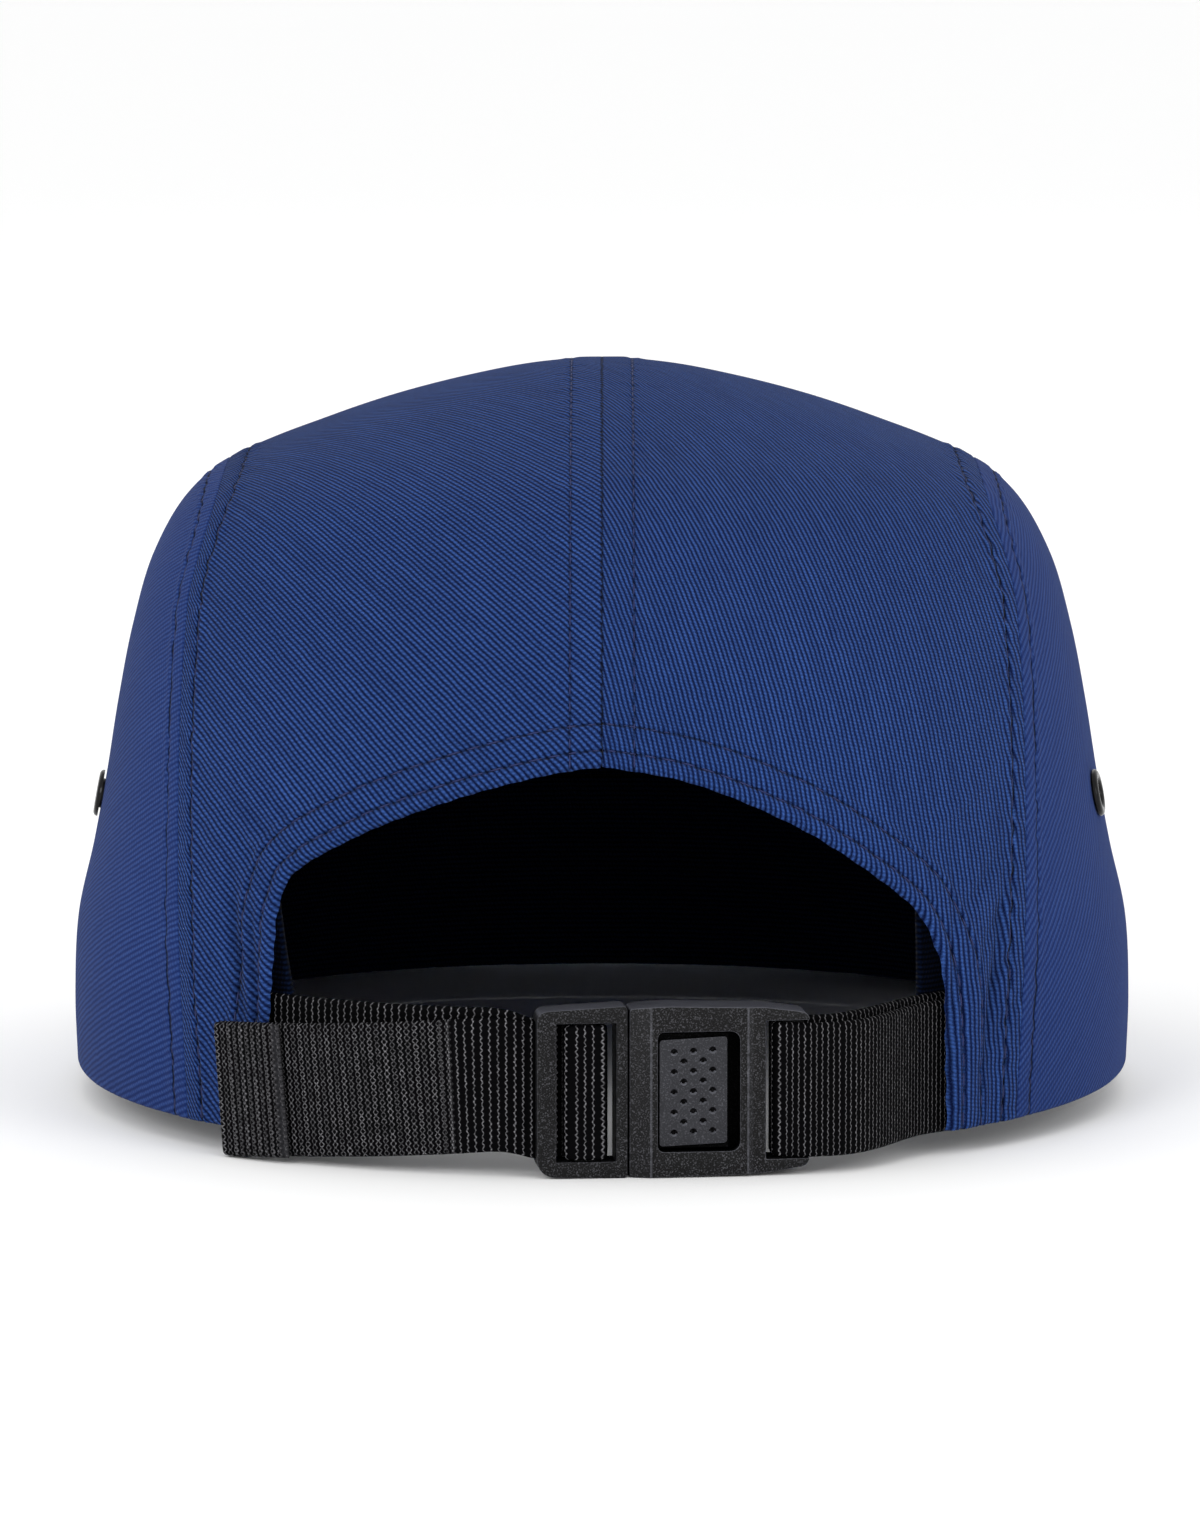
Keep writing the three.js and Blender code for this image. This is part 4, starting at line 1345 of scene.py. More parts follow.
@dataclass(frozen=True)
class ThreadFinish:
    """Sewing thread with a twist along it."""

    name: str = "blue_thread"
    colour: tuple[float, float, float] = (14, 30, 92)

    def material(self) -> bpy.types.Material:
        """Builds the finish.

        Returns:
            The finish as a material.
        """
        s = Shader(self.name)
        twist = s.noise(3200.0, detail=1.0)
        colour = s.mix(twist, srgb(*(0.7 * c for c in self.colour)), srgb(*self.colour))
        return s.ended(s.surface(Base_Color=colour, Roughness=0.7, Normal=s.bump(twist, 0.04 * MM)))


# Stitching


@dataclass
class Stitches:
    """Rows of sewing thread, laid by Geometry Nodes as short capsules along curves."""

    name: str
    material: bpy.types.Material
    pitch: float = SEAMS.stitch_pitch
    length: float = 2.2
    radius: float = 0.13

    def tree(self) -> bpy.types.NodeTree:
        """Builds the Geometry Nodes that lay the stitches.

        Returns:
            The node tree, with the curves, pitch, length and thickness as inputs.
        """
        tree = bpy.data.node_groups.new(self.name + "_nodes", "GeometryNodeTree")
        sockets = tree.interface
        sockets.new_socket("Geometry", in_out="OUTPUT", socket_type="NodeSocketGeometry")
        sockets.new_socket("Geometry", in_out="INPUT", socket_type="NodeSocketGeometry")
        for name in ("Pitch", "Length", "Thickness"):
            sockets.new_socket(name, in_out="INPUT", socket_type="NodeSocketFloat")
        make = tree.nodes.new
        source, result = make("NodeGroupInput"), make("NodeGroupOutput")
        spaced, ball = make("GeometryNodeResampleCurve"), make("GeometryNodeMeshUVSphere")
        spaced.mode = "LENGTH"
        for name, value in (("Segments", 6), ("Rings", 5), ("Radius", 0.5)):
            ball.inputs[name].default_value = value
        tangent, turn = make("GeometryNodeInputTangent"), make("FunctionNodeAlignEulerToVector")
        turn.axis = "Z"
        size, place = make("ShaderNodeCombineXYZ"), make("GeometryNodeInstanceOnPoints")
        real, coat = make("GeometryNodeRealizeInstances"), make("GeometryNodeSetMaterial")
        coat.inputs["Material"].default_value = self.material
        for start, output, end, entry in (
            (source, "Geometry", spaced, "Curve"),
            (source, "Pitch", spaced, "Length"),
            (tangent, "Tangent", turn, "Vector"),
            (source, "Thickness", size, "X"),
            (source, "Thickness", size, "Y"),
            (source, "Length", size, "Z"),
            (spaced, "Curve", place, "Points"),
            (ball, "Mesh", place, "Instance"),
            (turn, "Rotation", place, "Rotation"),
            (size, "Vector", place, "Scale"),
            (place, "Instances", real, "Geometry"),
            (real, "Geometry", coat, "Geometry"),
            (coat, "Geometry", result, "Geometry"),
        ):
            tree.links.new(start.outputs[output], end.inputs[entry])
        return tree

    def make(self, rows: Sequence[np.ndarray]) -> None:
        """Lays stitches along rows of points and makes one plain mesh of them.

        Args:
            rows: Curves in the cap's frame.
        """
        curve = bpy.data.curves.new(self.name + "_rows", "CURVE")
        curve.dimensions = "3D"
        for row in rows:
            spline = curve.splines.new("POLY")
            points = PLACEMENT.points(row)
            spline.points.add(len(points) - 1)
            spline.points.foreach_set("co", np.c_[points, np.ones(len(points))].ravel())
        source = add_object(self.name + "_source", curve)
        modifier = source.modifiers.new("stitches", "NODES")
        modifier.node_group = self.tree()
        values = {"Pitch": self.pitch, "Length": self.length, "Thickness": 2 * self.radius}
        for item in modifier.node_group.interface.items_tree:
            if item.in_out == "INPUT" and item.name in values:
                modifier[item.identifier] = values[item.name] * MM
        mesh = baked(source)
        bpy.data.objects.remove(source)
        mesh.name = self.name
        mesh.polygons.foreach_set("use_smooth", [True] * len(mesh.polygons))
        finish_piece(add_object(self.name, mesh), self.material, Slot.TWILL)


def grid_normals(grid: np.ndarray, outwards: np.ndarray) -> np.ndarray:
    """Directions square to a grid of points.

    Args:
        grid: Points in rows and columns.
        outwards: Rough directions of the side that the results point to.

    Returns:
        One direction for each point.
    """
    normal = unit(np.cross(np.gradient(grid, axis=0), np.gradient(grid, axis=1)))
    return normal * np.sign((normal * outwards).sum(axis=2, keepdims=True))


# Panels


@dataclass
class Panel:
    """One crown panel between four sides, with its edges and the direction of its twill."""

    name: str
    chart: Chart
    sides: tuple[np.ndarray, np.ndarray, np.ndarray, np.ndarray]
    edges: tuple[Edge, ...]
    cells: tuple[int, int]
    twill_deg: float
    start: float
    seed: float
    bend: float = 0.0
    seam_shear: float = 0.0
    pitch_share: float = 1.0
    folds: tuple[Fold, ...] = ()
    hem_width: float = 6.5
    hem_thickness: float = 0.7
    thread_sunk: float = 0.02

    def grid(self) -> np.ndarray:
        """Fills in the panel between its four sides.

        Returns:
            Pairs of angles in rows and columns.
        """
        s, t = stations(self.cells[0]), stations(self.cells[1])
        start, end = (self.chart.angles(resample(side, t)) for side in self.sides[:2])
        low, high = (self.chart.angles(resample(side, s)) for side in self.sides[2:])
        s, t = s[:, None, None], t[None, :, None]
        ruled = (1 - s) * start[None] + s * end[None] + (1 - t) * low[:, None] + t * high[:, None]
        corners = (1 - s) * ((1 - t) * low[0] + t * high[0]) + s * ((1 - t) * low[-1] + t * high[-1])
        return ruled - corners

    def relief(self, points: np.ndarray) -> tuple[np.ndarray, np.ndarray, dict[str, np.ndarray]]:
        """Shape of the cloth over the smooth crown.

        Args:
            points: Points of the crown.

        Returns:
            Heights, how far a hem thickens the cloth, and the distances from the edges by their kind, with
            the depth of the fold valleys that the twill paints as shade.
        """
        height, thick, crease = np.zeros((3, len(points)))
        distances = {kind.name: np.full(len(points), FAR) for kind in EdgeKind if kind.value.rows}
        for number, edge in enumerate(self.edges):
            distance, station = edge.nearest(points)
            form = edge.kind.value
            height += form.relief(distance, station, self.seed + number)
            if edge.kind is EdgeKind.HEM:
                inside = 1 - smoothstep((distance - self.hem_width) / 2)
                thick += self.hem_thickness * inside * smoothstep(distance / 1.5)
            if form.rows:
                sway = ripple(station, 6.0, self.seed + 2 * number)
                distances[edge.kind.name] = distance + form.sway * sway
        for fold in self.folds:
            relief = fold.relief(points)
            height += relief
            crease += np.clip(-relief, 0, None)
        # Depth of the fold valleys, which the twill paints as shade.
        distances["crease"] = crease
        return height, thick, distances

    def stitch_rows(self) -> list[np.ndarray]:
        """Finds where this panel's stitching lies.

        Returns:
            One curve for each row.
        """
        made = []
        for edge in self.edges:
            length = lengths_along(edge.curve)[-1]
            line = resample(edge.curve, np.linspace(0, 1, int(length / 0.8)))
            normal = CROWN.normals(line)
            inwards = unit(np.cross(normal, np.gradient(line, axis=0)))
            middle = self.sides[0][len(self.sides[0]) // 2] + self.sides[1][len(self.sides[1]) // 2]
            inwards *= np.sign(((middle / 2 - line) * inwards).sum(axis=1, keepdims=True).mean())
            for row in edge.kind.value.rows:
                points = CROWN.snap(line + inwards * row)
                others = [other.nearest(points)[0] for other in self.edges if other is not edge]
                kept = (np.min(others, axis=0) > 1.0) & (points[:, 2] > 1.0)
                points, bare = points[kept], normal[kept]
                made.append(points + bare * (self.relief(points)[0] - self.thread_sunk)[:, None])
        return made

    def twill(self, flat: np.ndarray, beside: np.ndarray) -> np.ndarray:
        """Turns cloth coordinates to the twill.

        Args:
            flat: Coordinates across and along the cap.
            beside: How far each point lies inside the side seam's row.

        Returns:
            Coordinates across and along the ridges.
        """
        turn = math.radians(self.twill_deg)
        across = flat[:, 0] * math.sin(turn) + flat[:, 1] * math.cos(turn) + self.bend * flat[:, 1] ** 2
        along = flat[:, 0] * math.cos(turn) - flat[:, 1] * math.sin(turn)
        return np.stack([across + self.seam_shear * beside, along], axis=1) / self.pitch_share

    def build(self) -> bpy.types.Object:
        """Builds the panel.

        Returns:
            A closed cloth shell.
        """
        angles = self.grid()
        shape = angles.shape[:2]
        flat_angles = angles.reshape(-1, 2)
        points = CROWN.cast(self.chart.directions(flat_angles))
        grid = points.reshape(*shape, 3)
        normal = grid_normals(grid, grid - np.array(CROWN.centre))
        height, thick, distances = self.relief(points)
        beside = np.clip(EdgeKind.SIDE.value.rows[0] - distances[EdgeKind.SIDE.name], 0, None)
        uv = self.twill(self.chart.flat_map(flat_angles, points, self.start), beside).reshape(*shape, 2)
        height, thick = height.reshape(*shape, 1), thick.reshape(*shape, 1)
        outer = grid + normal * height
        lining = np.minimum(height, 0.0) * 0.25 - SEAMS.wall - thick
        near = (1 - smoothstep(distances[EdgeKind.HEM.name] / 6.0)).reshape(*shape, 1)
        straight = unit(normal * [1.0, 1.0, 0.0]) * (1 - near) + np.array([0.0, 1.0, 0.0]) * near
        inner = grid + unit(normal * (1 - near) + straight * near) * lining
        return mesh_object(self.name, *Patch(outer, inner, uv, uv + 0.4, 3, distances).parts())


@dataclass
class CrownPanels:
    """The five panels, each cut between its seams."""

    material: bpy.types.Material
    smooth: bpy.types.Material
    thread: bpy.types.Material
    top_folds_left: tuple[Fold, ...] = (
        Fold(54.6, 25.0, 85.0, 10.0, 1.0, -1.0),
        Fold(52.1, 24.0, 87.0, 10.0, 0.7, -0.8),
        Fold(60.0, 24.0, 95.0, 14.0, 2.0, 0.35),
        Fold(53.0, 41.0, 52.0, 7.0, 1.3, -0.35),
        Fold(50.0, 44.5, 40.0, 6.0, 1.1, -0.3),
    )
    top_folds_right: tuple[Fold, ...] = (
        Fold(-55.4, 18.0, 93.0, 15.0, 1.7, 0.6),
        Fold(-52.2, 18.0, 91.0, 16.0, 0.5, -0.5),
        Fold(-58.6, 20.0, 98.0, 14.0, 0.8, -0.7),
        Fold(-59.0, 30.0, 118.0, 5.0, 0.8, -0.35),
        Fold(-60.2, 23.5, 122.0, 4.0, 0.8, -0.35),
        Fold(-60.8, 16.0, 124.0, 4.0, 0.8, -0.3),
        Fold(-57.0, 36.0, 128.0, 5.0, 1.0, -0.3),
        Fold(-51.0, 46.0, 140.0, 9.0, 1.6, 0.3),
    )

    def top(self, side: int) -> Panel:
        """One of the two panels that run over the top and down to the back opening.

        Args:
            side: 1 for the wearer's left and -1 for the right.

        Returns:
            The panel.
        """
        gap, left = SEAMS.gap, side > 0
        outer = CROWN.side_seam_curve(side, -gap / 2)
        arch = ARCH.curve(side, gap)
        front = CROWN.front_seam_curve(gap / 2)
        centre = CROWN.upright_curve(-side * gap / 2, np.radians(np.linspace(-5, 140, 1500)))
        above = centre[:, 2] > arch[-1, 2]
        behind = centre[:, 1] > CROWN.front_seam_y(centre[:, 2]) + gap / 2
        centre = centre[above & behind]
        inside = (front[:, 0] * side > gap / 2) & (front[:, 0] * side < outer[-1, 0] * side)
        front = front[inside]
        front = front if abs(front[0, 0]) < abs(front[-1, 0]) else front[::-1]
        front = np.concatenate([centre[-1:], front, outer[-1:]])
        rim = CROWN.rim_curve(arch[0], outer[0])
        return Panel(
            name="top_panel_left_cloth" if left else "top_panel_right_cloth",
            chart=Chart(Pole.ACROSS),
            sides=(np.concatenate([arch, centre[1:]]), outer, rim, front),
            edges=(
                Edge(EdgeKind.HEM, arch),
                Edge(EdgeKind.CENTRE, centre),
                Edge(EdgeKind.SIDE, outer),
                Edge(EdgeKind.FRONT, front),
                Edge(EdgeKind.RIM, rim),
            ),
            cells=(112, 400),
            twill_deg=-47.0 if left else -84.0,
            start=0.0,
            seed=1.3 if left else 2.9,
            bend=0.0 if left else 0.0018,
            seam_shear=-0.6 if left else 0.0,
            pitch_share=1.0 if left else 0.86,
            folds=self.top_folds_left if left else self.top_folds_right,
        )

    def side(self, side: int) -> Panel:
        """One of the two side panels.

        Args:
            side: 1 for the wearer's left and -1 for the right.

        Returns:
            The panel, without the eyelet's hole.
        """
        left = side > 0
        seam = CROWN.side_seam_curve(side, SEAMS.gap / 2)
        front = CROWN.front_seam_curve(SEAMS.gap / 2)
        front = front[(front[:, 0] * side > seam[-1, 0] * side)]
        front = front if front[0, 2] < front[-1, 2] else front[::-1]
        front = np.concatenate([front, seam[-1:]])
        rim = CROWN.rim_curve(seam[0], front[0])
        back, over = split(seam, 0.6)
        return Panel(
            name="side_panel_left_cloth" if left else "side_panel_right_cloth",
            chart=Chart(Pole.UP, side),
            sides=(back, front, rim, over),
            edges=(Edge(EdgeKind.SIDE, seam), Edge(EdgeKind.FRONT, front), Edge(EdgeKind.RIM, rim)),
            cells=(150, 120),
            twill_deg=-20.0 if left else 30.0,
            start=0.2,
            seed=4.2 if left else 5.7,
        )

    def front(self) -> Panel:
        """The front panel, from the peak up to the leaning seam.

        Returns:
            The panel.
        """
        seam = CROWN.front_seam_curve(-SEAMS.gap / 2)
        middle = np.array([0.0, -CROWN.half_length, 0.0])
        rim = np.concatenate([CROWN.rim_curve(seam[0], middle), CROWN.rim_curve(middle, seam[-1])[1:]])
        rise, rest = split(seam, 0.3)
        over, fall = split(rest, (0.7 - 0.3) / 0.7)
        return Panel(
            name="front_panel_cloth",
            chart=Chart(Pole.ACROSS),
            sides=(rise, fall[::-1], rim, over),
            edges=(Edge(EdgeKind.FRONT, seam), Edge(EdgeKind.RIM, rim)),
            cells=(200, 110),
            twill_deg=45.0,
            start=0.0,
            seed=7.1,
        )

    def make(self) -> None:
        """Builds and dresses the five panels and lays their stitching."""
        rows: list[np.ndarray] = []
        for panel, material, eyelet in (
            (self.top(1), self.material, None),
            (self.top(-1), self.material, None),
            (self.side(1), self.smooth, EYELETS[0]),
            (self.side(-1), self.smooth, EYELETS[1]),
            (self.front(), self.material, None),
        ):
            piece = panel.build()
            if eyelet:
                eyelet.punch(piece)
            finish_piece(piece, material, Slot.TWILL, [panel.name.removesuffix("_cloth")])
            rows += panel.stitch_rows()
        Stitches("panel_stitches", self.thread).make(rows)


# Sweatband and peak


@dataclass
class Sweatband:
    """Cloth band inside the rim, which steps inwards at its back ends to leave room for the webbing."""

    material: bpy.types.Material
    height: float = 35.0
    thickness: float = 1.2
    clearance: float = 0.5
    end_left: float = 46.0
    end_right: float = 47.0
    set_in: tuple[float, float] = (3.5, 5.1)
    slant: float = 3.0
    strap_width: float = 20.0
    strap_hidden: float = 62.0
    strap_clearance: float = 0.8
    layer_pitch: float = 1.7
    roll: float = 0.35
    roll_reach: float = 0.6
    wave: float = 0.12
    wave_length: float = 23.0

    def room(self, points: np.ndarray) -> np.ndarray:
        """Room for the panel and the webbing.

        Args:
            points: Points of the crown.

        Returns:
            Inward offset of the band's outer face at each point.
        """
        slack = 0.2 * self.strap_hidden
        away = smoothstep((np.abs(points[..., 0]) - self.strap_hidden - 1) / slack)
        layers = np.where(points[..., 0] > 0, 1, 2)
        room = layers * self.layer_pitch + 2 * self.strap_clearance - SEAMS.gap - self.clearance
        room = np.where(points[..., 1] > 0, room, 0.0)
        return SEAMS.wall + self.clearance + room * (1 - away)

    def ends(self, z: np.ndarray) -> list[np.ndarray]:
        """The band's two ends.

        Args:
            z: Heights.

        Returns:
            Angles of the crown's level rings at these heights, for the left and the right end.
        """
        rise = self.height + SEAMS.wall - self.strap_width
        left = self.end_left + self.slant * np.clip((z - self.strap_width) / rise, 0, 1) + self.set_in[0]
        right = np.full_like(z, -self.end_right - self.set_in[1])
        width = CROWN.ring(z)[0]
        angles = []
        for x in (left, right):
            ratio = np.clip(np.abs(x) / width, 0, 1)
            depth = (1 - ratio**CROWN.fullness) ** (1 / CROWN.fullness)
            angles.append(np.arctan2(depth, np.sign(x) * ratio))
        return angles

    def build(self) -> bpy.types.Object:
        """Builds the band.

        Returns:
            A closed cloth shell.
        """
        z = self.height * stations(34)
        first, last = self.ends(z)
        angle = first[None] + (last - 2 * math.pi - first)[None] * stations(460)[:, None]
        grid = CROWN.level_line(angle, z)
        normal = grid_normals(grid, grid - np.array(CROWN.centre))
        away = self.room(grid)[..., None]
        edge = np.minimum(z, self.height - z)[None, :, None]
        roll = self.roll * np.clip(1 - edge / self.roll_reach, 0, 1) ** 2
        along = lengths_along(grid[:, 10])[:, None]
        wave = self.wave * ripple(along, self.wave_length, 3.3)[..., None] * (edge / self.height)
        outer = grid - normal * (away + roll)
        inner = grid - normal * (away + self.thickness - roll + wave)
        flat = np.stack(np.broadcast_arrays(z, along), axis=-1)
        distances = {EdgeKind.SIDE.name: np.broadcast_to(self.height - z, angle.shape) + 1.0}
        return mesh_object("sweatband_cloth", *Patch(inner, outer, flat, flat + 0.3, 3, distances).parts())

    def make(self) -> None:
        """Builds and dresses the band."""
        finish_piece(self.build(), self.material, Slot.TWILL, ["sweatband"])


@dataclass
class Peak:
    """Cloth-covered peak: a curved board with a rounded outer edge."""

    material: bpy.types.Material
    length: float = 66.0
    half_width: float = 79.0
    thickness: float = 3.0
    fullness: float = 2.35
    side_drop: float = 11.0
    front_drop: float = 3.0
    level: float = 2.0
    clearance: float = 0.6
    stitch_rows: tuple[float, ...] = (3.0, 6.0)
    groove: float = 0.3
    groove_width: float = 0.5

    def plan(self, u: np.ndarray, v: np.ndarray) -> np.ndarray:
        """Middle of the board.

        Args:
            u: Shares of the way round the cap.
            v: Shares of the way from the rim outwards.

        Returns:
            One point for each pair.
        """
        at_rim = CROWN.front_seam_at_rim
        start = math.asin(min(1.0, at_rim / CROWN.half_length))
        inner = CROWN.level_line(-start - u * (math.pi - 2 * start), np.array(0.0))
        inner += self.clearance * unit(inner / [CROWN.half_width, CROWN.half_length, 1.0])
        x, y = superellipse(-u * math.pi, self.fullness)
        depth = CROWN.half_length - at_rim + self.length
        outer = np.stack([self.half_width * x, -at_rim + depth * y, 0 * x], axis=-1)
        span = np.linalg.norm(outer - inner, axis=-1)
        plan = inner + (outer - inner) * v[..., None]
        sag = self.side_drop * (plan[..., 0] / self.half_width) ** 2 + self.front_drop
        plan[..., 2] = self.level - v * span / self.length * sag
        return plan

    def build(self) -> bpy.types.Object:
        """Builds the covered board.

        Returns:
            A closed shell.
        """
        u, v = np.broadcast_arrays(stations(150)[:, None], stations(62)[None])
        middle = self.plan(u, v)
        normal = grid_normals(middle, np.array([0.0, 0.0, 1.0]))
        distance = Edge(EdgeKind.RIM, middle[:, -1]).nearest(middle.reshape(-1, 3))[0].reshape(u.shape)
        half = self.thickness / 2
        lip = np.clip(1 - distance / half, 0, 1)
        height = half * np.sqrt(np.maximum(1 - lip**2, 0.02))
        for row in self.stitch_rows:
            height = height - self.groove * bell(distance - row, self.groove_width)
        height = height[..., None]
        top, under = middle + normal * height, middle - normal * height
        x, y = middle[..., 0] * 0.7, middle[..., 1] * 0.7
        flat = np.stack([x - y, x + y], axis=-1)
        distances = {EdgeKind.SIDE.name: distance + 0.5, EdgeKind.CENTRE.name: distance - 1.2}
        return mesh_object("peak_cloth", *Patch(top, under, flat, flat + 0.3, 2, distances).parts())

    def make(self) -> None:
        """Builds and dresses the peak."""
        finish_piece(self.build(), self.material, Slot.TWILL, ["peak"])


# Straps and buckle


@dataclass
class StrapSizes:
    """Sizes that the two straps and the buckle share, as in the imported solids."""

    width: float = 20.0
    thickness: float = 1.4
    bend: float = 1.0
    clearance: float = 0.8
    gap: float = 0.3
    hidden_x: float = 62.0
    tail_tip_x: float = 54.8
    tail_fold: float = 9.3
    tail_droop_deg: float = 5.5
    tail_lift: float = 1.5
    base_lift: float = 1.9
    rise: float = 0.8
    hem_lead: float = 1.0
    buckle_x: float = -10.3
    level: float = 9.4
    stand_off: float = -0.6
    shift: float = 0.25
    clip_length: float = 13.7
    clip_front: float = 3.0
    clip_bar: float = 3.2
    clip_bar_depth: float = 2.2
    clip_slot_left: float = 2.8
    socket_body: float = 20.2
    socket_rails: float = 6.6
    socket_bar: float = 3.2
    socket_bar_depth: float = 2.6
    see_through: float = 0.9

    @property
    def pitch(self) -> float:
        """Distance between two layers of webbing."""
        return self.thickness + self.gap

    @property
    def under_panel(self) -> float:
        """Distance of the webbing's middle from the crown's outer face where it runs inside the cap."""
        return -(SEAMS.wall + self.clearance + self.thickness / 2)

    @property
    def over_panel(self) -> float:
        """Distance of the webbing's middle from the crown's outer face where it runs outside the cap."""
        return self.clearance + self.thickness / 2

    def rim_at(self, x: np.ndarray) -> tuple[np.ndarray, np.ndarray]:
        """Level line of the crown at the straps.

        Args:
            x: Places across.

        Returns:
            Plan points of the line at these places, and its outward directions there.
        """
        width, length, shift = (float(value) for value in CROWN.ring(np.array(self.level)))
        length += shift
        n = CROWN.fullness
        x = np.asarray(x, dtype=float)
        ratio = np.minimum(np.abs(x) / width, 0.98)
        y = length * (1 - ratio**n) ** (1 / n)
        slope = np.stack([np.sign(x) * ratio ** (n - 1) / width, (y / length) ** (n - 1) / length], axis=-1)
        return np.stack([x, y], axis=-1), unit(slope)

    def along_rim(self, x: np.ndarray, out: np.ndarray) -> np.ndarray:
        """Plan points at distances outside the level line."""
        point, outward = self.rim_at(x)
        return point + outward * np.asarray(out, dtype=float)[..., None]

    def outside_rim(self, plan: np.ndarray) -> float:
        """Distance of a plan point outside the level line."""
        point, outward = self.rim_at(plan[0])
        return float((plan[1] - point[1]) * outward[1])

    @property
    def buckle_turn(self) -> float:
        """Turn of the buckle in plan.

        Returns:
            The angle in radians.
        """
        seat = self.along_rim(self.buckle_x, self.stand_off)
        ahead = self.along_rim(self.buckle_x - 1, self.stand_off) - seat
        return math.atan2(ahead[1], ahead[0])

    def from_buckle(self, x: float, out: float) -> np.ndarray:
        """Turns a place in the buckle's own frame into a plan point.

        Args:
            x: Place along the buckle.
            out: Distance outwards.

        Returns:
            The plan point.
        """
        turn = self.buckle_turn
        seat = self.along_rim(self.buckle_x, self.stand_off)
        cos, sin = math.cos(turn), math.sin(turn)
        return seat + np.array([x * cos + out * sin, x * sin - out * cos])

    @property
    def clip_start(self) -> float:
        """Start of the clip along the buckle."""
        return -(self.clip_length + self.socket_body + self.socket_rails) / 2


@dataclass(frozen=True)
class Station:
    """One place on a strap: its plan point, its height and the way its top edge leans."""

    plan: np.ndarray
    z: float
    lean: np.ndarray


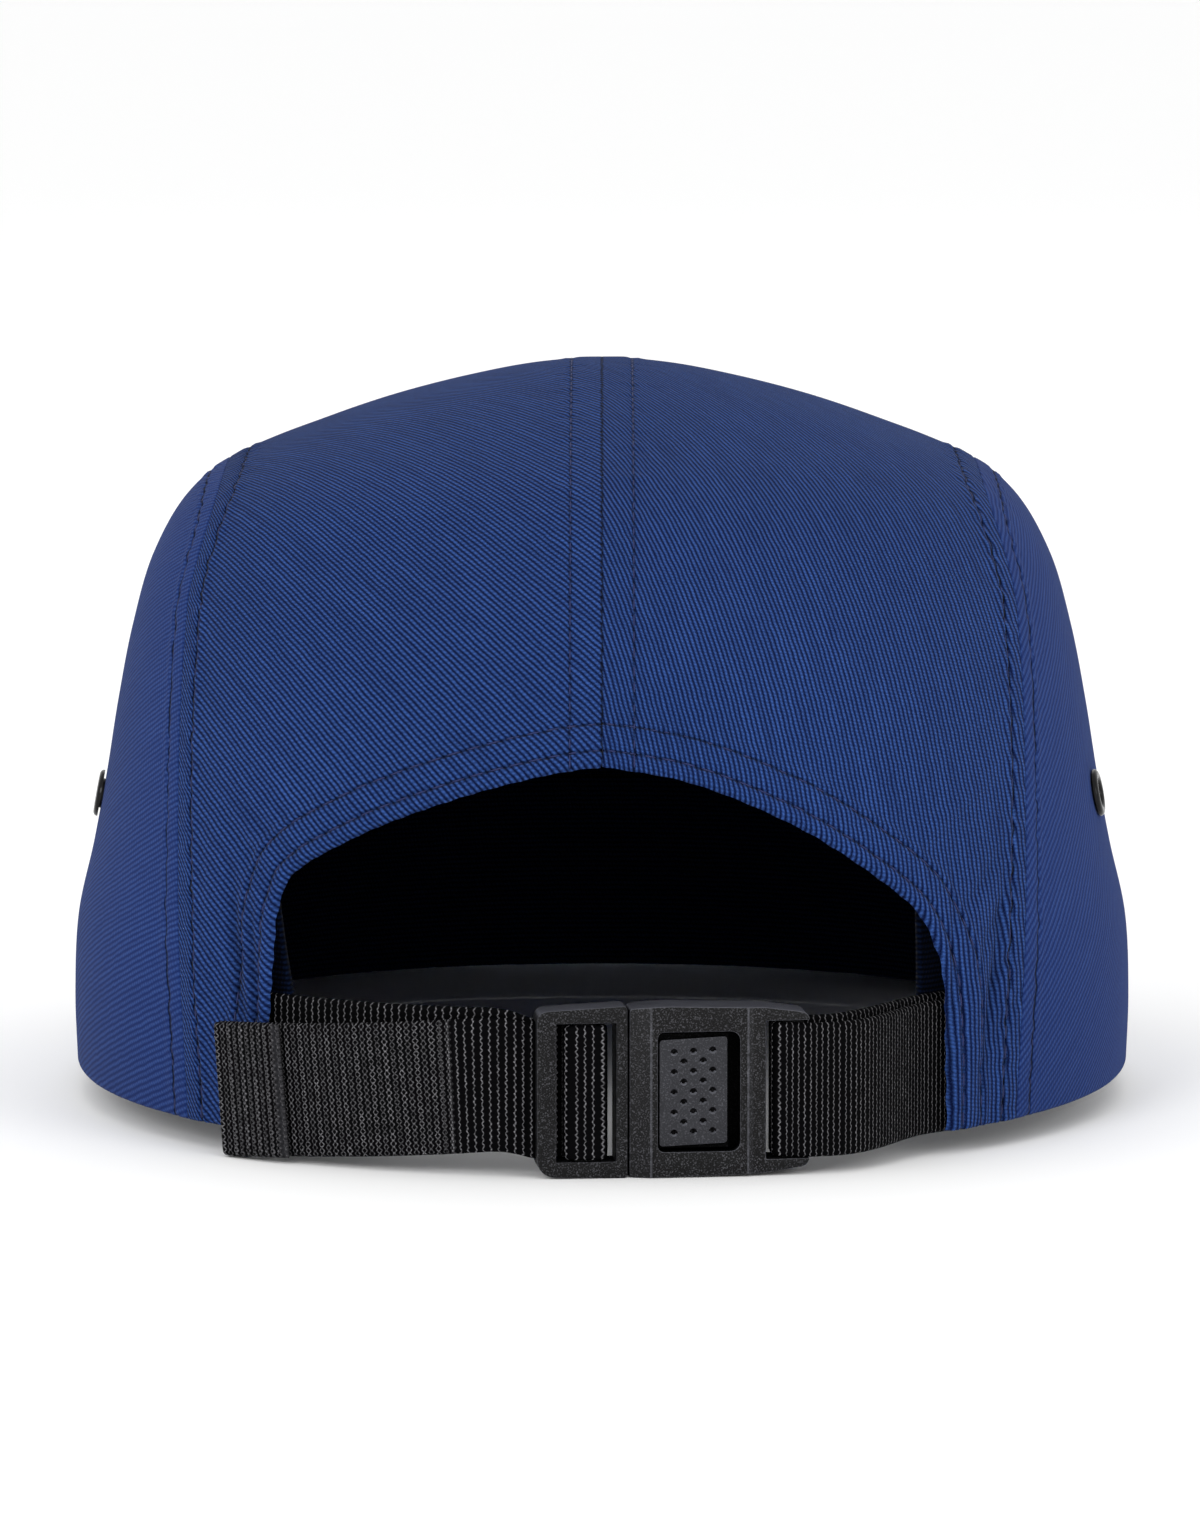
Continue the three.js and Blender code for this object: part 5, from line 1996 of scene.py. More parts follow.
@dataclass
class Strap:
    """A strap of webbing on edge along a plan line."""

    name: str
    node: str
    material: bpy.types.Material
    sizes: StrapSizes = field(default_factory=StrapSizes)
    pitch: float = 0.24
    across_cells: int = 26
    rib_pitch: float = 1.2
    rib_height: float = 0.1
    edge_width: float = 1.2
    pressed: float = 0.6
    pressed_length: float = 2.2

    def level_station(self, x: float, out: float, shift: float) -> Station:
        """Station at a place in the buckle's frame."""
        return Station(self.sizes.from_buckle(x, out), self.sizes.level + shift, np.zeros(2))

    def rim_stations(
        self,
        span: tuple[float, float],
        outs: tuple[float, float],
        count: int,
        height: Callable[[float], float],
        droop: Callable[[float], float] | None = None,
    ) -> list[Station]:
        """Lays stations along the rim.

        Args:
            span: First and last place across.
            outs: Distances outside the level line at these two places.
            count: Number of steps.
            height: Gives the height at a place across.
            droop: Gives the angle of drooping at a place across.

        Returns:
            The stations in order.
        """
        made = []
        for t in np.linspace(0, 1, count + 1):
            x = span[0] + (span[1] - span[0]) * t
            out = outs[0] + (outs[1] - outs[0]) * float(smoothstep(t))
            lean = self.lean(x, droop(x)) if droop else np.zeros(2)
            made.append(Station(self.sizes.along_rim(x, out), height(x), lean))
        return made

    def lean(self, x: float, angle: float) -> np.ndarray:
        """Lean of a drooping strap's top edge, along the rim and away from the buckle."""
        outward = self.sizes.rim_at(x)[1]
        return np.array([outward[1], -outward[0]]) * math.sin(angle)

    def rounded(self, places: list[Station], radius: float) -> list[Station]:
        """Rounds the sharp corners of the plan line.

        Args:
            places: Stations of the line.
            radius: Length that is cut off on both sides of a corner.

        Returns:
            The stations of the rounded line.
        """
        made = [places[0]]
        for before, here, after in zip(places, places[1:], places[2:]):
            into, onwards = here.plan - before.plan, after.plan - here.plan
            cosine = float(unit(into) @ unit(onwards))
            if math.acos(max(-1.0, min(1.0, cosine))) < 0.5:
                made.append(here)
                continue
            cut = min(radius, np.linalg.norm(into) / 2, np.linalg.norm(onwards) / 2)
            start, end = here.plan - unit(into) * cut, here.plan + unit(onwards) * cut
            for t in np.linspace(0, 1, 9):
                plan = (1 - t) ** 2 * start + 2 * t * (1 - t) * here.plan + t**2 * end
                made.append(Station(plan, here.z, here.lean))
        return [*made, places[-1]]

    def path(self) -> list[Station]:
        """The strap's stations from one end to the other."""
        raise NotImplementedError

    def marks(self, from_end: np.ndarray) -> dict[str, np.ndarray]:
        """Shares of the weaves and of sealed edge, by the distance from the strap's end."""
        raise NotImplementedError

    def section(self) -> tuple[np.ndarray, np.ndarray, np.ndarray]:
        """Draws the closed outline of the strap's section.

        Returns:
            Places across, heights and the share of ribs that shows.
        """
        half, thick = self.sizes.width / 2, self.sizes.thickness / 2 - self.rib_height
        across = np.linspace(-half + thick, half - thick, self.across_cells + 1)
        turn = np.linspace(math.pi / 2, -math.pi / 2, 7)[1:-1]
        cap_across, cap_height = half - thick + thick * np.cos(turn), thick * np.sin(turn)
        flat = np.full_like(across, thick)
        v = np.concatenate([across, cap_across, across[::-1], -cap_across])
        w = np.concatenate([flat, cap_height, -flat, -cap_height])
        return v, w, np.clip((half - np.abs(v)) / self.edge_width, 0.15, 1)

    def sampled(self) -> tuple[np.ndarray, np.ndarray]:
        """Walks along the strap in even steps.

        Returns:
            Distances from the start, and a row for each: two plan coordinates, the height and two leans.
        """
        places = self.rounded(self.path(), self.sizes.bend)
        line = np.array([[*p.plan, p.z, *p.lean] for p in places])
        along = lengths_along(line[:, :2])
        at = np.linspace(0, along[-1], int(along[-1] / self.pitch) + 1)
        line = np.stack([np.interp(at, along, line[:, k]) for k in range(5)], axis=1)
        kernel = np.ones(15) / 15
        for column in (2, 3, 4):
            line[:, column] = np.convolve(np.pad(line[:, column], 7, mode="edge"), kernel, mode="valid")
        return at, line

    def build(self) -> bpy.types.Object:
        """Builds the strap.

        Returns:
            A closed ribbed band.
        """
        at, line = self.sampled()
        from_end = at[-1] - at
        tangent = unit(np.gradient(line[:, :2], axis=0))
        side = np.stack([-tangent[:, 1], tangent[:, 0]], axis=1)
        v, w, share = self.section()
        columns = at / self.rib_pitch
        rib = 0.5 - 0.5 * np.cos(2 * math.pi * columns)
        marks = self.marks(from_end)
        near_end = smoothstep((self.pressed_length - from_end) / self.pressed_length)
        pressed = 1 - self.pressed * near_end * (marks["seal"].max() > 0)
        ribs = rib[:, None] * share[None] * (1 - marks["seal"][:, None])
        thick = (w[None] + np.sign(w)[None] * self.rib_height * ribs) * pressed[:, None]
        lean = line[:, 3:5]
        up = np.sqrt(1 - (lean**2).sum(axis=1))
        xy = line[:, None, :2] + side[:, None] * thick[..., None] + lean[:, None] * v[None, :, None]
        z = line[:, None, 2] + up[:, None] * v[None]
        points = np.concatenate([xy, z[..., None]], axis=2)
        loops, around = points.shape[:2]
        numbers = np.arange(loops * around).reshape(loops, around)
        faces = Patch.quads(np.concatenate([numbers, numbers[:, :1]], axis=1))
        faces += [numbers[0].tolist(), numbers[-1][::-1].tolist()]
        flat = np.stack(np.broadcast_arrays(at[:, None], v[None]), axis=-1).reshape(-1, 2)
        spread = {key: np.repeat(value, around) for key, value in marks.items()}
        spread["columns"] = np.repeat(columns, around)
        middle, points = points[0].mean(axis=0), points.reshape(-1, 3)
        corner, following, _, last = points[faces[0]]
        if np.cross(following - corner, last - corner) @ (corner - middle) < 0:
            faces = [face[::-1] for face in faces]
        return mesh_object(self.name, points, faces, flat, spread)

    def make(self) -> None:
        """Builds and dresses the strap."""
        finish_piece(self.build(), self.material, Slot.WEBBING, [self.node])


@dataclass
class StrapLeft(Strap):
    """Adjustable strap: from inside the cap through the clip and back outside, with its tail folded."""

    edge_share: float = 0.967
    chain_length: float = 54.0
    sealed_length: float = 1.3

    def path(self) -> list[Station]:
        """Leads the strap from inside the cap through the clip to the end of its flap.

        Returns:
            The strap's stations.
        """
        z = self.sizes
        edge_x = ARCH.half_width * self.edge_share - z.hem_lead
        entry = z.clip_start - 2
        entry_x = float(z.from_buckle(entry, 0)[0])
        left_bar_end = z.clip_start + z.clip_slot_left
        bar_start = left_bar_end + 2 * z.gap + z.thickness + z.see_through
        bar_front = z.clip_front - z.thickness
        wrap_out = bar_front + z.gap + z.thickness / 2
        tail_out = z.clip_front - z.clip_bar_depth - z.gap - z.thickness / 2
        base_out = tail_out - z.pitch
        wrap_right = bar_start + z.clip_bar + z.gap + z.thickness / 2
        wrap_left = bar_start - z.gap - z.thickness / 2
        droop_full = math.radians(z.tail_droop_deg)

        def away(x: float) -> float:
            """Share of the way from the clip to the hem."""
            return min(max((x - entry_x) / (edge_x - entry_x), 0.0), 1.0)

        def clear(x: float) -> float:
            """Share by which a place is clear of the clip."""
            return float(smoothstep((x - entry_x) / 1.5))

        def base_height(x: float) -> float:
            """Height of the layer that runs into the cap."""
            return z.level + z.shift + z.rise * away(x) + z.base_lift * clear(x) * (1 - 0.8 * away(x))

        def tail_height(x: float) -> float:
            """Height of the layer that runs back outside."""
            drop = math.tan(droop_full) * max(0.0, x - entry_x)
            return z.level - z.shift - drop + z.tail_lift * clear(x)

        def droop(x: float) -> float:
            """Angle by which the outer layer droops."""
            return droop_full * float(smoothstep(away(x) / 0.5))

        def at_tip(x: float, out: float) -> Station:
            """Station at the folded tip."""
            return Station(z.along_rim(x, out), tail_height(x), self.lean(x, droop_full))

        under, over, lead = z.under_panel, z.over_panel, z.hem_lead
        base_start = z.outside_rim(z.from_buckle(entry, base_out))
        tail_start = z.outside_rim(z.from_buckle(entry, tail_out))
        tail = (entry_x + lead, edge_x - 2 * lead)
        return [
            *self.rim_stations((z.hidden_x, edge_x + 2 * lead), (under, under), 3, base_height),
            *self.rim_stations((edge_x, entry_x + lead), (under, base_start), 12, base_height),
            self.level_station(z.clip_start, base_out, z.shift),
            self.level_station(wrap_right, base_out, 0),
            self.level_station(wrap_right, wrap_out, 0),
            self.level_station(wrap_left, wrap_out, 0),
            self.level_station(wrap_left, tail_out, 0),
            self.level_station(z.clip_start, tail_out, -z.shift),
            *self.rim_stations(tail, (tail_start, over), 12, tail_height, droop),
            *self.rim_stations((edge_x, z.tail_tip_x - z.thickness), (over, over), 2, tail_height, droop),
            at_tip(z.tail_tip_x, over),
            at_tip(z.tail_tip_x, over + z.pitch),
            at_tip(z.tail_tip_x - z.tail_fold, over + z.pitch),
        ]

    def marks(self, from_end: np.ndarray) -> dict[str, np.ndarray]:
        """Marks chain weave on the outer layer, zigzag on its flap, and the flap's sealed end.

        Args:
            from_end: Distances from the strap's end.

        Returns:
            Shares by the name of the mark.
        """
        flap = smoothstep((self.sizes.tail_fold + 1 - from_end) / 0.4) * 0.5
        chain = smoothstep((self.chain_length - from_end) / 3.0) * (1 - flap)
        seal = smoothstep((self.sealed_length - from_end) / 0.5)
        return {Weave.CHAIN.value: chain, Weave.ZIGZAG.value: flap, "seal": seal}


@dataclass
class StrapRight(Strap):
    """Fixed strap: a loop round the socket's bar, both of whose layers go into the cap."""

    rib_pitch: float = 0.88
    edge_share: float = 0.998

    def path(self) -> list[Station]:
        """Leads the strap from the back layer round the bar to the front layer.

        Returns:
            The strap's stations.
        """
        z = self.sizes
        edge_x = -ARCH.half_width * self.edge_share + z.hem_lead
        body_end = z.clip_start + z.clip_length + z.socket_body
        entry = body_end + z.socket_rails + 2
        entry_x = float(z.from_buckle(entry, 0)[0])
        bar_start = body_end + z.see_through + z.thickness + z.gap
        bar_end = bar_start + z.socket_bar
        loop_out = z.socket_bar_depth / 2 + z.gap + z.thickness / 2
        loop_x = bar_start - z.gap - z.thickness / 2
        under, lead = z.under_panel, z.hem_lead
        deep = under - z.pitch

        def away(x: float) -> float:
            """Share of the way from the socket to the hem."""
            return min(max((entry_x - x) / (entry_x - edge_x), 0.0), 1.0)

        def front_height(x: float) -> float:
            """Height of the front layer."""
            return z.level - z.shift + 0.5 * z.rise * away(x)

        def back_height(x: float) -> float:
            """Height of the back layer."""
            return z.level + z.shift + z.rise * away(x)

        back_end = z.outside_rim(z.from_buckle(entry, -loop_out))
        front_start = z.outside_rim(z.from_buckle(entry, loop_out))
        return [
            *self.rim_stations((-z.hidden_x, edge_x - 2 * lead), (deep, deep), 3, back_height),
            *self.rim_stations((edge_x, entry_x - lead), (deep, back_end), 10, back_height),
            self.level_station(bar_end, -loop_out, z.shift),
            self.level_station(loop_x, -loop_out, 0),
            self.level_station(loop_x, loop_out, 0),
            self.level_station(bar_end, loop_out, -z.shift),
            *self.rim_stations((entry_x - lead, edge_x), (front_start, under), 10, front_height),
            *self.rim_stations((edge_x - 2 * lead, -z.hidden_x), (under, under), 3, front_height),
        ]

    def marks(self, from_end: np.ndarray) -> dict[str, np.ndarray]:
        """Plain ribs all along."""
        plain = np.zeros_like(from_end)
        return {Weave.CHAIN.value: plain, Weave.ZIGZAG.value: plain, "seal": plain}


@dataclass
class Eyelet:
    """Domed metal ring through a side panel."""

    side: int
    y: float
    level: float
    radius: float = 3.7
    bore: float = 2.0
    barrel: float = 2.35
    dome: float = 0.75
    seat: float = 0.3
    depth: float = 1.875
    segments: int = 56
    hole_clearance: float = 0.15

    def place(self) -> tuple[np.ndarray, np.ndarray]:
        """Finds the eyelet's place on the crown.

        Returns:
            Its middle and its outward direction.
        """
        start = np.array([[0.0, self.y, self.level]])
        reach = np.array([[float(self.side), 0.0, 0.0]])
        centre = CROWN.solve(lambda far: start + reach * far[:, None], 1)
        return centre[0], CROWN.normals(centre)[0]

    def profile(self) -> np.ndarray:
        """Draws the closed outline of the section.

        Returns:
            Radii and rises.
        """
        turn = np.linspace(0, math.pi, 13)
        middle, half = (self.radius + self.bore) / 2, (self.radius - self.bore) / 2
        ring = np.stack([middle + half * np.cos(turn), self.seat + self.dome * np.sin(turn) ** 0.8], axis=1)
        inside = [[self.bore, -self.depth], [self.barrel, -self.depth], [self.barrel, self.seat]]
        return np.concatenate([ring, inside])

    def make(self, material: bpy.types.Material) -> None:
        """Builds and dresses the eyelet.

        Args:
            material: Its finish.
        """
        centre, normal = self.place()
        first = unit(np.cross(normal, [0.0, 0.0, 1.0]))
        second = np.cross(normal, first)
        angle = np.linspace(0, 2 * math.pi, self.segments, endpoint=False)
        outline = self.profile()
        spokes = first * np.cos(angle)[:, None] + second * np.sin(angle)[:, None]
        points = centre + spokes[:, None] * outline[None, :, :1] + normal * outline[None, :, 1:]
        numbers = np.arange(self.segments * len(outline)).reshape(self.segments, -1)
        wrapped = np.concatenate([numbers, numbers[:1]])
        faces = Patch.quads(np.concatenate([wrapped, wrapped[:, :1]], axis=1))
        side = "left" if self.side > 0 else "right"
        piece = mesh_object(f"eyelet_{side}_metal", points.reshape(-1, 3), faces)
        sharpen(piece, 50)
        finish_piece(piece, material, Slot.EYELET, [f"eyelet_{side}"])

    def punch(self, panel: bpy.types.Object) -> None:
        """Cuts the eyelet's hole.

        Args:
            panel: The panel that is changed.
        """
        centre, normal = self.place()
        middle = Vector(PLACEMENT.points(centre[None])[0])
        direction = Vector(PLACEMENT.turned(normal[None])[0])
        built = bmesh.new()
        turn = direction.to_track_quat("Z", "Y").to_matrix().to_4x4()
        radius = (self.barrel + self.hole_clearance) * MM
        bmesh.ops.create_cone(
            built,
            cap_ends=True,
            segments=32,
            radius1=radius,
            radius2=radius,
            depth=12 * MM,
            matrix=Matrix.Translation(middle) @ turn,
        )
        combine(panel, add_object("hole", mesh_of(built, "hole")), Joining.DIFFERENCE)


EYELETS = (Eyelet(1, 6.0, 41.8), Eyelet(-1, 20.0, 43.6))


class Axis(Enum):
    """Direction in which an outline is drawn out, in the buckle's frame."""

    DEPTH = 1
    UP = 2


def rounded(corners: Sequence[tuple[float, float, float]], steps: int = 8) -> np.ndarray:
    """Outline with rounded corners.

    Args:
        corners: Two coordinates and the cut length of each corner.
        steps: Number of pieces in each rounding.

    Returns:
        Points of the outline.
    """
    points = []
    for k, (x, z, cut) in enumerate(corners):
        here = np.array([x, z])
        before, after = np.array(corners[k - 1][:2]), np.array(corners[(k + 1) % len(corners)][:2])
        start, end = here + cut * unit(before - here), here + cut * unit(after - here)
        for t in np.linspace(0, 1, steps + 1):
            points.append((1 - t) ** 2 * start + 2 * t * (1 - t) * here + t**2 * end)
    return np.array(points)


def prism(outline: np.ndarray, low: float, high: float, axis: Axis = Axis.DEPTH) -> bpy.types.Object:
    """Solid drawn out from an outline, in millimetres in the buckle's frame.

    Args:
        outline: Points across and up, or across and in depth for the axis UP.
        low: Start along the axis.
        high: End along the axis.
        axis: Direction of drawing out.

    Returns:
        A loose object with a closed mesh.
    """
    count = len(outline)
    rings = [np.insert(outline, axis.value, level, axis=1) for level in (low, high)]
    faces = [[k, (k + 1) % count, count + (k + 1) % count, count + k] for k in range(count)]
    faces += [list(range(count))[::-1], list(range(count, 2 * count))]
    mesh = bpy.data.meshes.new("solid")
    mesh.from_pydata(np.concatenate(rings).tolist(), [], faces)
    built = bmesh.new()
    built.from_mesh(mesh)
    bmesh.ops.recalc_face_normals(built, faces=built.faces)
    built.to_mesh(mesh)
    built.free()
    return add_object("solid", mesh)


def block(x0: float, x1: float, y0: float, y1: float, half: float) -> bpy.types.Object:
    """Box between two places across and two depths, as far up as down."""
    return prism(np.array([(x0, -half), (x1, -half), (x1, half), (x0, half)]), y0, y1)


@dataclass
class Buckle:
    """Push button buckle in its own frame: x to the wearer's right, -y outwards, z up."""

    plastic: bpy.types.Material
    sizes: StrapSizes = field(default_factory=StrapSizes)
    height: float = 25.6
    edge: float = 0.32
    slot: float = 10.3
    clip_back: float = 2.8
    clip_slot_right: float = 1.6
    clip_taper: float = 0.7
    half_gap: float = 0.35
    socket_front: float = 3.75
    socket_back: float = 3.4
    socket_taper: float = 1.4
    window: tuple[float, float] = (12.2, 17.8)
    window_start: float = 4.1
    bridge: float = 1.4
    tongue: tuple[float, float] = (3.6, 17.0)
    pad: tuple[float, float] = (10.0, 15.8)
    pad_sunk: float = 0.45
    pad_slope: float = 0.045
    dimple_radius: float = 0.55
    dimple_depth: float = 0.4
    dimple_pitches: tuple[float, float] = (1.43, 3.0)

    @property
    def clip_end(self) -> float:
        """End of the clip along the buckle."""
        return self.sizes.clip_start + self.sizes.clip_length - self.half_gap

    @property
    def socket_start(self) -> float:
        """Start of the socket along the buckle."""
        return self.sizes.clip_start + self.sizes.clip_length

    @property
    def body_end(self) -> float:
        """End of the socket's closed part."""
        return self.socket_start + self.sizes.socket_body

    @property
    def ridges(self) -> tuple[float, float]:
        """Places of the two upright edges on the socket's front."""
        return self.socket_start + 3.1, self.body_end - 2.7

    @property
    def pad_start(self) -> float:
        """Start of the push button's pad."""
        return self.socket_start + self.window_start + self.sizes.gap

    def bevelled(self, piece: bpy.types.Object, width: float) -> None:
        """Rounds a solid's sharp edges.

        Args:
            piece: The solid that is changed.
            width: Width of the rounding.
        """
        modifier = piece.modifiers.new("round", "BEVEL")
        modifier.width, modifier.segments = width, 3
        modifier.limit_method, modifier.angle_limit = "ANGLE", math.radians(17)
        mesh = baked(piece)
        piece.modifiers.remove(modifier)
        piece.data = mesh

    def dimples(self) -> bpy.types.Object:
        """Builds the tool for the pad's round dimples.

        Returns:
            Cones in five columns.
        """
        built = bmesh.new()
        face = -(self.socket_front - self.pad_sunk)
        for column in range(5):
            count = 5 - column % 2
            x = self.pad_start + self.pad[0] / 2 + (column - 2) * self.dimple_pitches[0]
            for row in range(count):
                z = (row - (count - 1) / 2) * self.dimple_pitches[1]
                z += self.pad_slope * (x - self.pad_start - self.pad[0] / 2)
                bmesh.ops.create_cone(
                    built,
                    cap_ends=True,
                    segments=14,
                    radius1=self.dimple_radius * 1.45,
                    radius2=self.dimple_radius * 0.55,
                    depth=2 * self.dimple_depth,
                    matrix=Matrix.Translation((x, face, z)) @ Matrix.Rotation(-math.pi / 2, 4, "X"),
                )
        return add_object("dimples", mesh_of(built, "dimples"))

    def button(self) -> bpy.types.Object:
        """Builds the pad of the push button with its dimples.

        Returns:
            The pad, which reaches into the tongue.
        """
        start, (length, height), front = self.pad_start, self.pad, self.socket_front - self.pad_sunk
        lean = self.pad_slope * length / 2
        corners = [
            (start, height / 2 - lean, 0.55),
            (start, -height / 2 - lean, 0.55),
            (start + length, -height / 2 + lean, 0.55),
            (start + length, height / 2 + lean, 0.55),
        ]
        pad = prism(rounded(corners, 5), -front, -(self.socket_front - self.bridge - self.sizes.gap) + 0.8)
        self.bevelled(pad, 0.22)
        combine(pad, self.dimples(), Joining.DIFFERENCE)
        return pad

    def clip(self) -> bpy.types.Object:
        """Builds the frame with its bar, and the tongue with the push button.

        Returns:
            The clip in the buckle's frame.
        """
        z, half = self.sizes, self.height / 2
        start, end = z.clip_start, self.clip_end
        corners = [
            (start, half - self.clip_taper, 1.7),
            (start, -half + self.clip_taper / 2, 3.0),
            (end, -half, 0.7),
            (end, half, 0.7),
        ]
        body = prism(rounded(corners), -z.clip_front, self.clip_back)
        left = start + z.clip_slot_left
        combine(body, block(left, end - self.clip_slot_right, -9, 9, self.slot), Joining.DIFFERENCE)
        step = block(start - 1, left + 1, z.clip_bar_depth - z.clip_front, 9, self.slot)
        combine(body, step, Joining.DIFFERENCE)
        self.bevelled(body, self.edge)
        bar = left + 2 * z.gap + z.thickness + z.see_through
        front = z.clip_front - z.thickness
        inner = self.socket_front - self.bridge - z.gap
        last = self.pad_start + self.pad[0] + z.gap
        for part in (
            block(bar, bar + z.clip_bar, -front, z.clip_bar_depth - front, self.slot + 0.5),
            block(end - 1, last, -inner, self.tongue[0] - inner, self.tongue[1] / 2),
            self.button(),
        ):
            combine(body, part, Joining.UNION)
        return body

    def socket(self) -> bpy.types.Object:
        """Builds the housing with the window and the strap's bar.

        Returns:
            The socket in the buckle's frame.
        """
        z, half, taper = self.sizes, self.height / 2, self.socket_taper
        start, body, end = self.socket_start, self.body_end, self.body_end + z.socket_rails
        corners = [
            (start, half - 0.5, 0.7),
            (start, -half, 0.7),
            (body, -half + taper / 3, 0.9),
            (end, -half + taper, 1.5),
            (end, half - taper, 1.5),
            (body, half - taper / 3, 1.0),
            (start + 4, half, 3.0),
        ]
        front = self.socket_front
        housing = prism(rounded(corners), -9, 9)
        left, right = self.ridges
        plan = [
            (start - 1, self.socket_back),
            (start - 1, -front + 1.5),
            (left, -front),
            (right, -front),
            (right + 0.9, -front + 0.38),
            (end + 1, -front + 1.0),
            (end + 1, self.socket_back),
        ]
        combine(housing, prism(np.array(plan), -20, 20, Axis.UP), Joining.INTERSECT)
        combine(housing, block(body, end + 1, -9, 9, self.slot), Joining.DIFFERENCE)
        hole, hole_half = start + self.window_start, self.window[1] / 2
        opening = [
            (hole, hole_half, 1.1),
            (hole, -hole_half, 1.1),
            (hole + self.window[0], -hole_half, 1.6),
            (hole + self.window[0], hole_half, 1.6),
        ]
        depth = front - self.bridge
        combine(housing, prism(rounded(opening), -9, -depth + 0.5), Joining.DIFFERENCE)
        self.bevelled(housing, self.edge)
        back = self.bridge + self.tongue[0] + 2 * z.gap - front
        cavity = block(start - 1, hole + self.window[0] + 1, -depth, back, hole_half + z.gap)
        combine(housing, cavity, Joining.DIFFERENCE)
        bar = body + z.see_through + z.thickness + z.gap
        bar_half = z.socket_bar_depth / 2
        solid = block(bar, bar + z.socket_bar, -bar_half, bar_half, self.slot + 0.5)
        combine(housing, solid, Joining.UNION)
        return housing

    def on_ridge(self, centre: np.ndarray, normal: np.ndarray) -> np.ndarray:
        """Finds the painted highlight lines on the socket's upright edges.

        Args:
            centre: Middles of the faces.
            normal: Directions of the faces.

        Returns:
            Share of painted highlight of each face.
        """
        off = np.min([np.abs(centre[:, 0] - place) for place in self.ridges], axis=0)
        outer = (normal[:, 1] < -0.9) & (centre[:, 1] < -self.socket_front + 0.25)
        return 0.8 * ((off < 0.3) & outer & (np.abs(normal[:, 0]) > 0.02))

    def marks(self, centre: np.ndarray, normal: np.ndarray) -> dict[str, np.ndarray]:
        """Marks painted light on upward faces, a lighter pad, painted highlights on slanting edges, ridges
        and dimple walls, and painted shade in deep places.

        Args:
            centre: Middles of the faces.
            normal: Directions of the faces.

        Returns:
            Shares of the faces by the name of the mark.
        """
        across, out, up = centre[:, 0], -centre[:, 1], np.abs(centre[:, 2])
        slanting = 1 - np.abs(normal).max(axis=1)
        outside = np.maximum(out - 0.8, up - self.slot - 0.4)
        # Painted light on upward faces.
        dust = smoothstep((normal[:, 2] - 0.35) / 0.5) * (up > self.slot + 0.2)
        # Painted highlights on slanting bevels and on the upright ridges.
        wear = np.maximum(np.clip((slanting - 0.05) * 4.5, 0, 1), self.on_ridge(centre, normal))
        # Painted shade on faces deep inside the buckle, and in the window round the pad.
        recess = np.clip(-outside * 0.9, 0, 1)
        in_window = (across > self.socket_start + 3) & (across < self.body_end - 2)
        deep = in_window & (out < self.socket_front - self.pad_sunk - 0.15)
        recess = np.maximum(recess, deep & (up < self.slot))
        floor = self.socket_front - self.pad_sunk - self.dimple_depth - 0.05
        on_pad = (up < self.pad[1] / 2) & (across < self.pad_start + self.pad[0])
        # Painted highlight on the upward-facing lower walls of the dimples.
        lit = deep & on_pad & (slanting > 0.08) & (normal[:, 2] > 0.15) & (out > floor)
        # The pad's face is lightened.
        pad = in_window & ~deep & (up < self.slot) & (out < self.socket_front - 0.2)
        return {
            "dust": np.maximum(dust, pad * 0.4),
            "wear": np.where(lit, 1.6, wear),
            "recess": np.where(lit, 0.0, recess),
        }

    def moved(self, points: np.ndarray) -> np.ndarray:
        """Puts points of the buckle's frame in the row frame.

        Args:
            points: Points in millimetres.

        Returns:
            The same points in metres.
        """
        cos, sin = math.cos(self.sizes.buckle_turn), math.sin(self.sizes.buckle_turn)
        seat = self.sizes.from_buckle(0.0, 0.0)
        across = seat[0] + points[:, 0] * cos - points[:, 1] * sin
        along = seat[1] + points[:, 0] * sin + points[:, 1] * cos
        return PLACEMENT.points(np.stack([across, along, points[:, 2] + self.sizes.level], axis=1))

    def place(self, solid: bpy.types.Object, name: str, node: str) -> None:
        """Marks a solid's faces, puts it in the row frame and dresses it.

        Args:
            solid: The solid in the buckle's frame.
            name: Name of the finished piece.
            node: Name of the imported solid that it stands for.
        """
        mesh = solid.data
        solid.name = mesh.name = name
        count = len(mesh.polygons)
        normal, centre = np.zeros(3 * count), np.zeros(3 * count)
        sizes = np.zeros(count, dtype=np.int32)
        mesh.polygons.foreach_get("normal", normal)
        mesh.polygons.foreach_get("center", centre)
        mesh.polygons.foreach_get("loop_total", sizes)
        for key, value in self.marks(centre.reshape(-1, 3), normal.reshape(-1, 3)).items():
            layer = mesh.attributes.new(key, "FLOAT", "CORNER")
            layer.data.foreach_set("value", np.repeat(value, sizes).astype(np.float32))
        points = np.zeros(3 * len(mesh.vertices))
        mesh.vertices.foreach_get("co", points)
        mesh.vertices.foreach_set("co", self.moved(points.reshape(-1, 3)).ravel())
        mesh.polygons.foreach_set("use_smooth", [True] * count)
        mesh.update()
        sharpen(solid, 26)
        finish_piece(solid, self.plastic, Slot.BUCKLE, [node])

    def make(self) -> None:
        """Builds and dresses both halves."""
        self.place(self.clip(), "buckle_clip_moulded", "buckle_clip")
        self.place(self.socket(), "buckle_socket_moulded", "buckle_socket")


# Studio


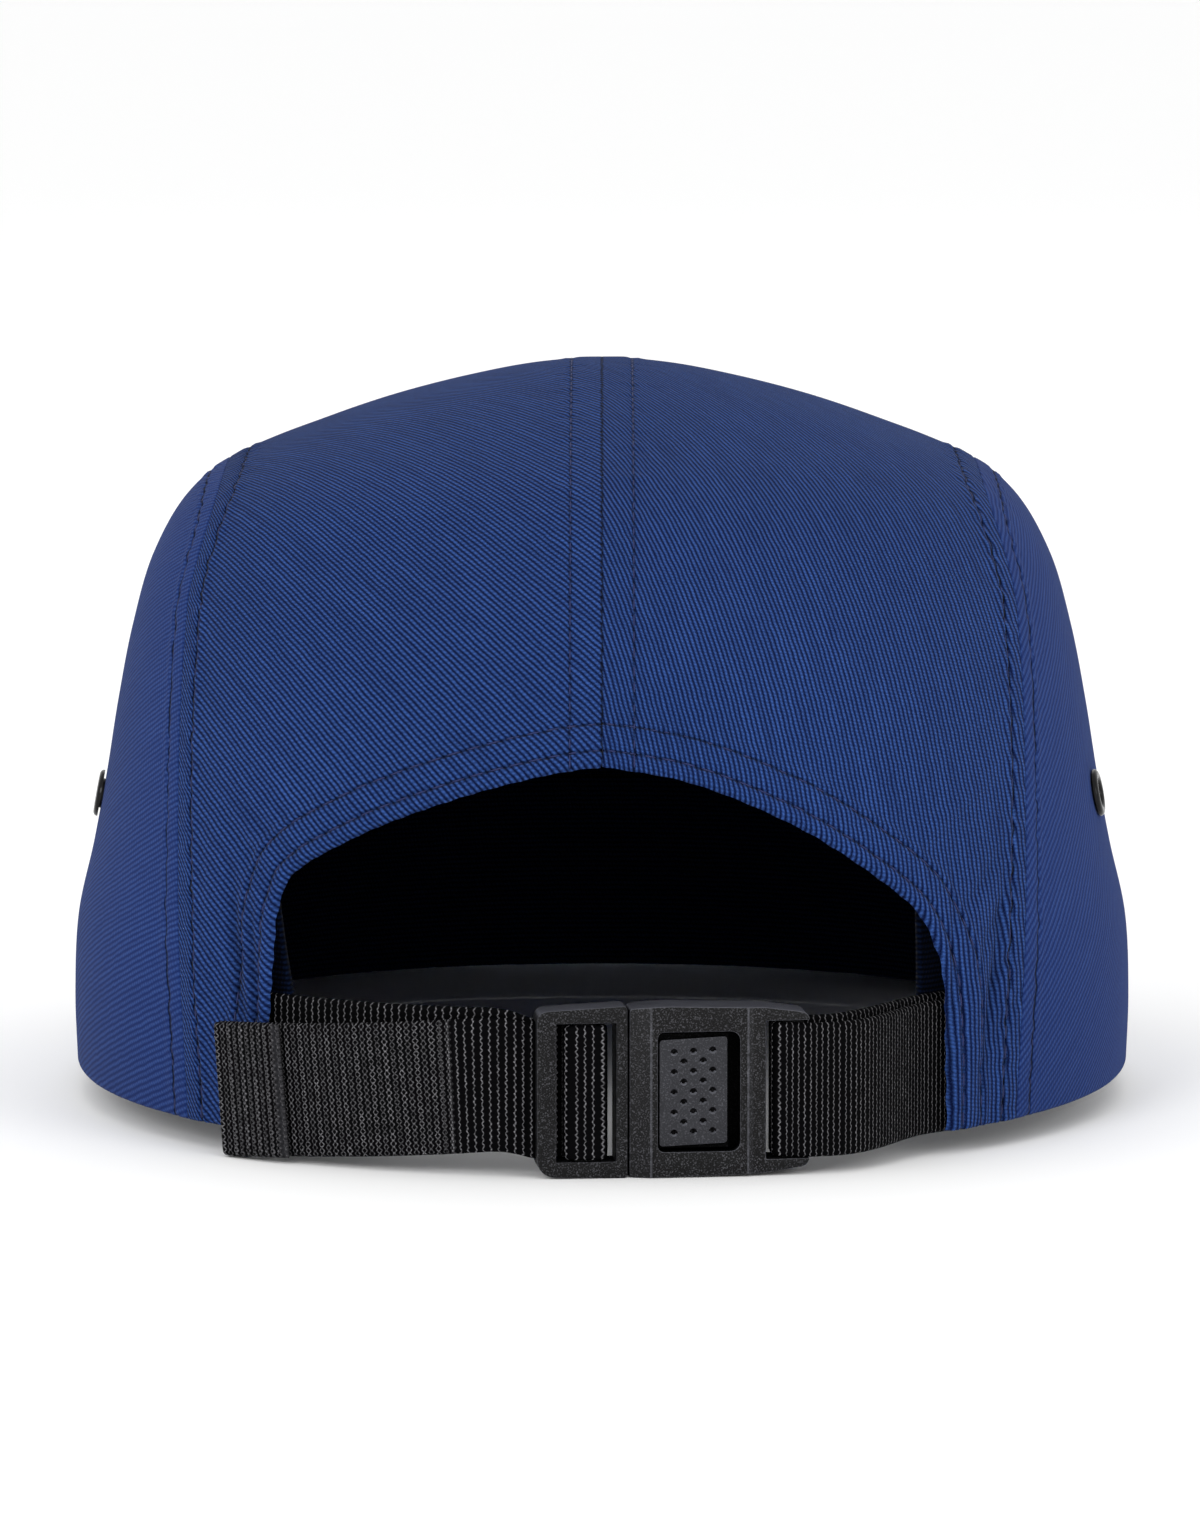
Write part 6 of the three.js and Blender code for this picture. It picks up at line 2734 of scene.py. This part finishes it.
@dataclass
class Studio:
    """Pale floor, soft lights and the camera at the photograph's angle."""

    target: tuple[float, float, float] = (0.3, 0.0, 45.6)
    distance: float = 1400.0
    elevation_deg: float = 7.0
    lens: float = 208.98
    sensor: float = 36.0
    lit: tuple[float, float, float] = (0, 0, 0.05)
    floor_radius: float = 14.0
    white: tuple[float, float, float, float] = (1.0, 1.0, 1.0, 1.0)

    @staticmethod
    def aimed(name: str, data: bpy.types.ID, place: Vector, target: Vector) -> bpy.types.Object:
        """Adds a camera or a lamp that looks at a point.

        Args:
            name: Name of the object.
            data: The camera or the lamp.
            place: Where it stands.
            target: What it looks at.

        Returns:
            The new object.
        """
        made = add_object(name, data)
        made.location = place
        made.rotation_mode = "QUATERNION"
        made.rotation_quaternion = (target - place).to_track_quat("-Z", "Y")
        return made

    def camera(self) -> None:
        """Sets the camera behind the cap."""
        a = math.radians(self.elevation_deg)
        aim = np.array([self.target])
        place = aim + self.distance * np.array([[0.0, math.cos(a), math.sin(a)]])
        here, there = (Vector(PLACEMENT.points(p)[0]) for p in (place, aim))
        data = bpy.data.cameras.new("camera")
        data.lens, data.sensor_width = self.lens, self.sensor
        data.clip_start, data.clip_end = 0.05, 100.0
        bpy.context.scene.camera = self.aimed("camera", data, here, there)

    def floor(self) -> None:
        """Lays the wide pale floor."""
        built = bmesh.new()
        bmesh.ops.create_circle(built, cap_ends=True, segments=96, radius=self.floor_radius)
        mesh = mesh_of(built, "floor")
        shader = Shader("pale_floor")
        mesh.materials.append(shader.ended(shader.surface(Base_Color=(0.98, 0.98, 0.98, 1.0), Roughness=0.9)))
        floor = add_object("floor", mesh)

    def light(self, name: str, place: tuple[float, float, float], size: float, power: float) -> None:
        """Adds a soft square lamp that looks at the cap.

        Args:
            name: Name of the lamp.
            place: Where it stands, in metres.
            size: Width of the lamp, in metres.
            power: Its power in watts.
        """
        data = bpy.data.lights.new(name, "AREA")
        data.size, data.energy = size, power
        self.aimed(name, data, Vector(place), Vector(self.lit))

    def make(self) -> None:
        """Sets up the whole studio."""
        self.camera()
        self.floor()
        self.light("key", (0.9, 1.9, 0.9), 0.8, 15.0)
        self.light("fill", (-1.3, 1.5, 0.7), 0.8, 8.0)
        self.light("back", (0.0, -1.6, 1.6), 1.2, 4.0)
        world = bpy.data.worlds.new("soft_white")
        world.use_nodes = True
        inputs = world.node_tree.nodes["Background"].inputs
        inputs["Color"].default_value = self.white
        inputs["Strength"].default_value = 1.0
        bpy.context.scene.world = world
        bpy.context.scene.view_settings.view_transform = "Standard"


def main() -> None:
    """Builds the cap piece by piece."""
    twill = TwillFinish().material()
    webbing = WebbingFinish().material()
    smooth = TwillFinish("blue_twill_smooth", ridge=(46, 69, 124), furrow=(22, 38, 86), depth=0.1).material()
    CrownPanels(twill, smooth, ThreadFinish().material()).make()
    Sweatband(twill).make()
    Peak(twill).make()
    StrapLeft("strap_left_webbing", "strap_left", webbing).make()
    StrapRight("strap_right_webbing", "strap_right", webbing).make()
    metal = LacqueredFinish().material()
    for eyelet in EYELETS:
        eyelet.make(metal)
    Buckle(MouldedFinish().material()).make()
    Studio().make()


if __name__ == "__main__":
    main()
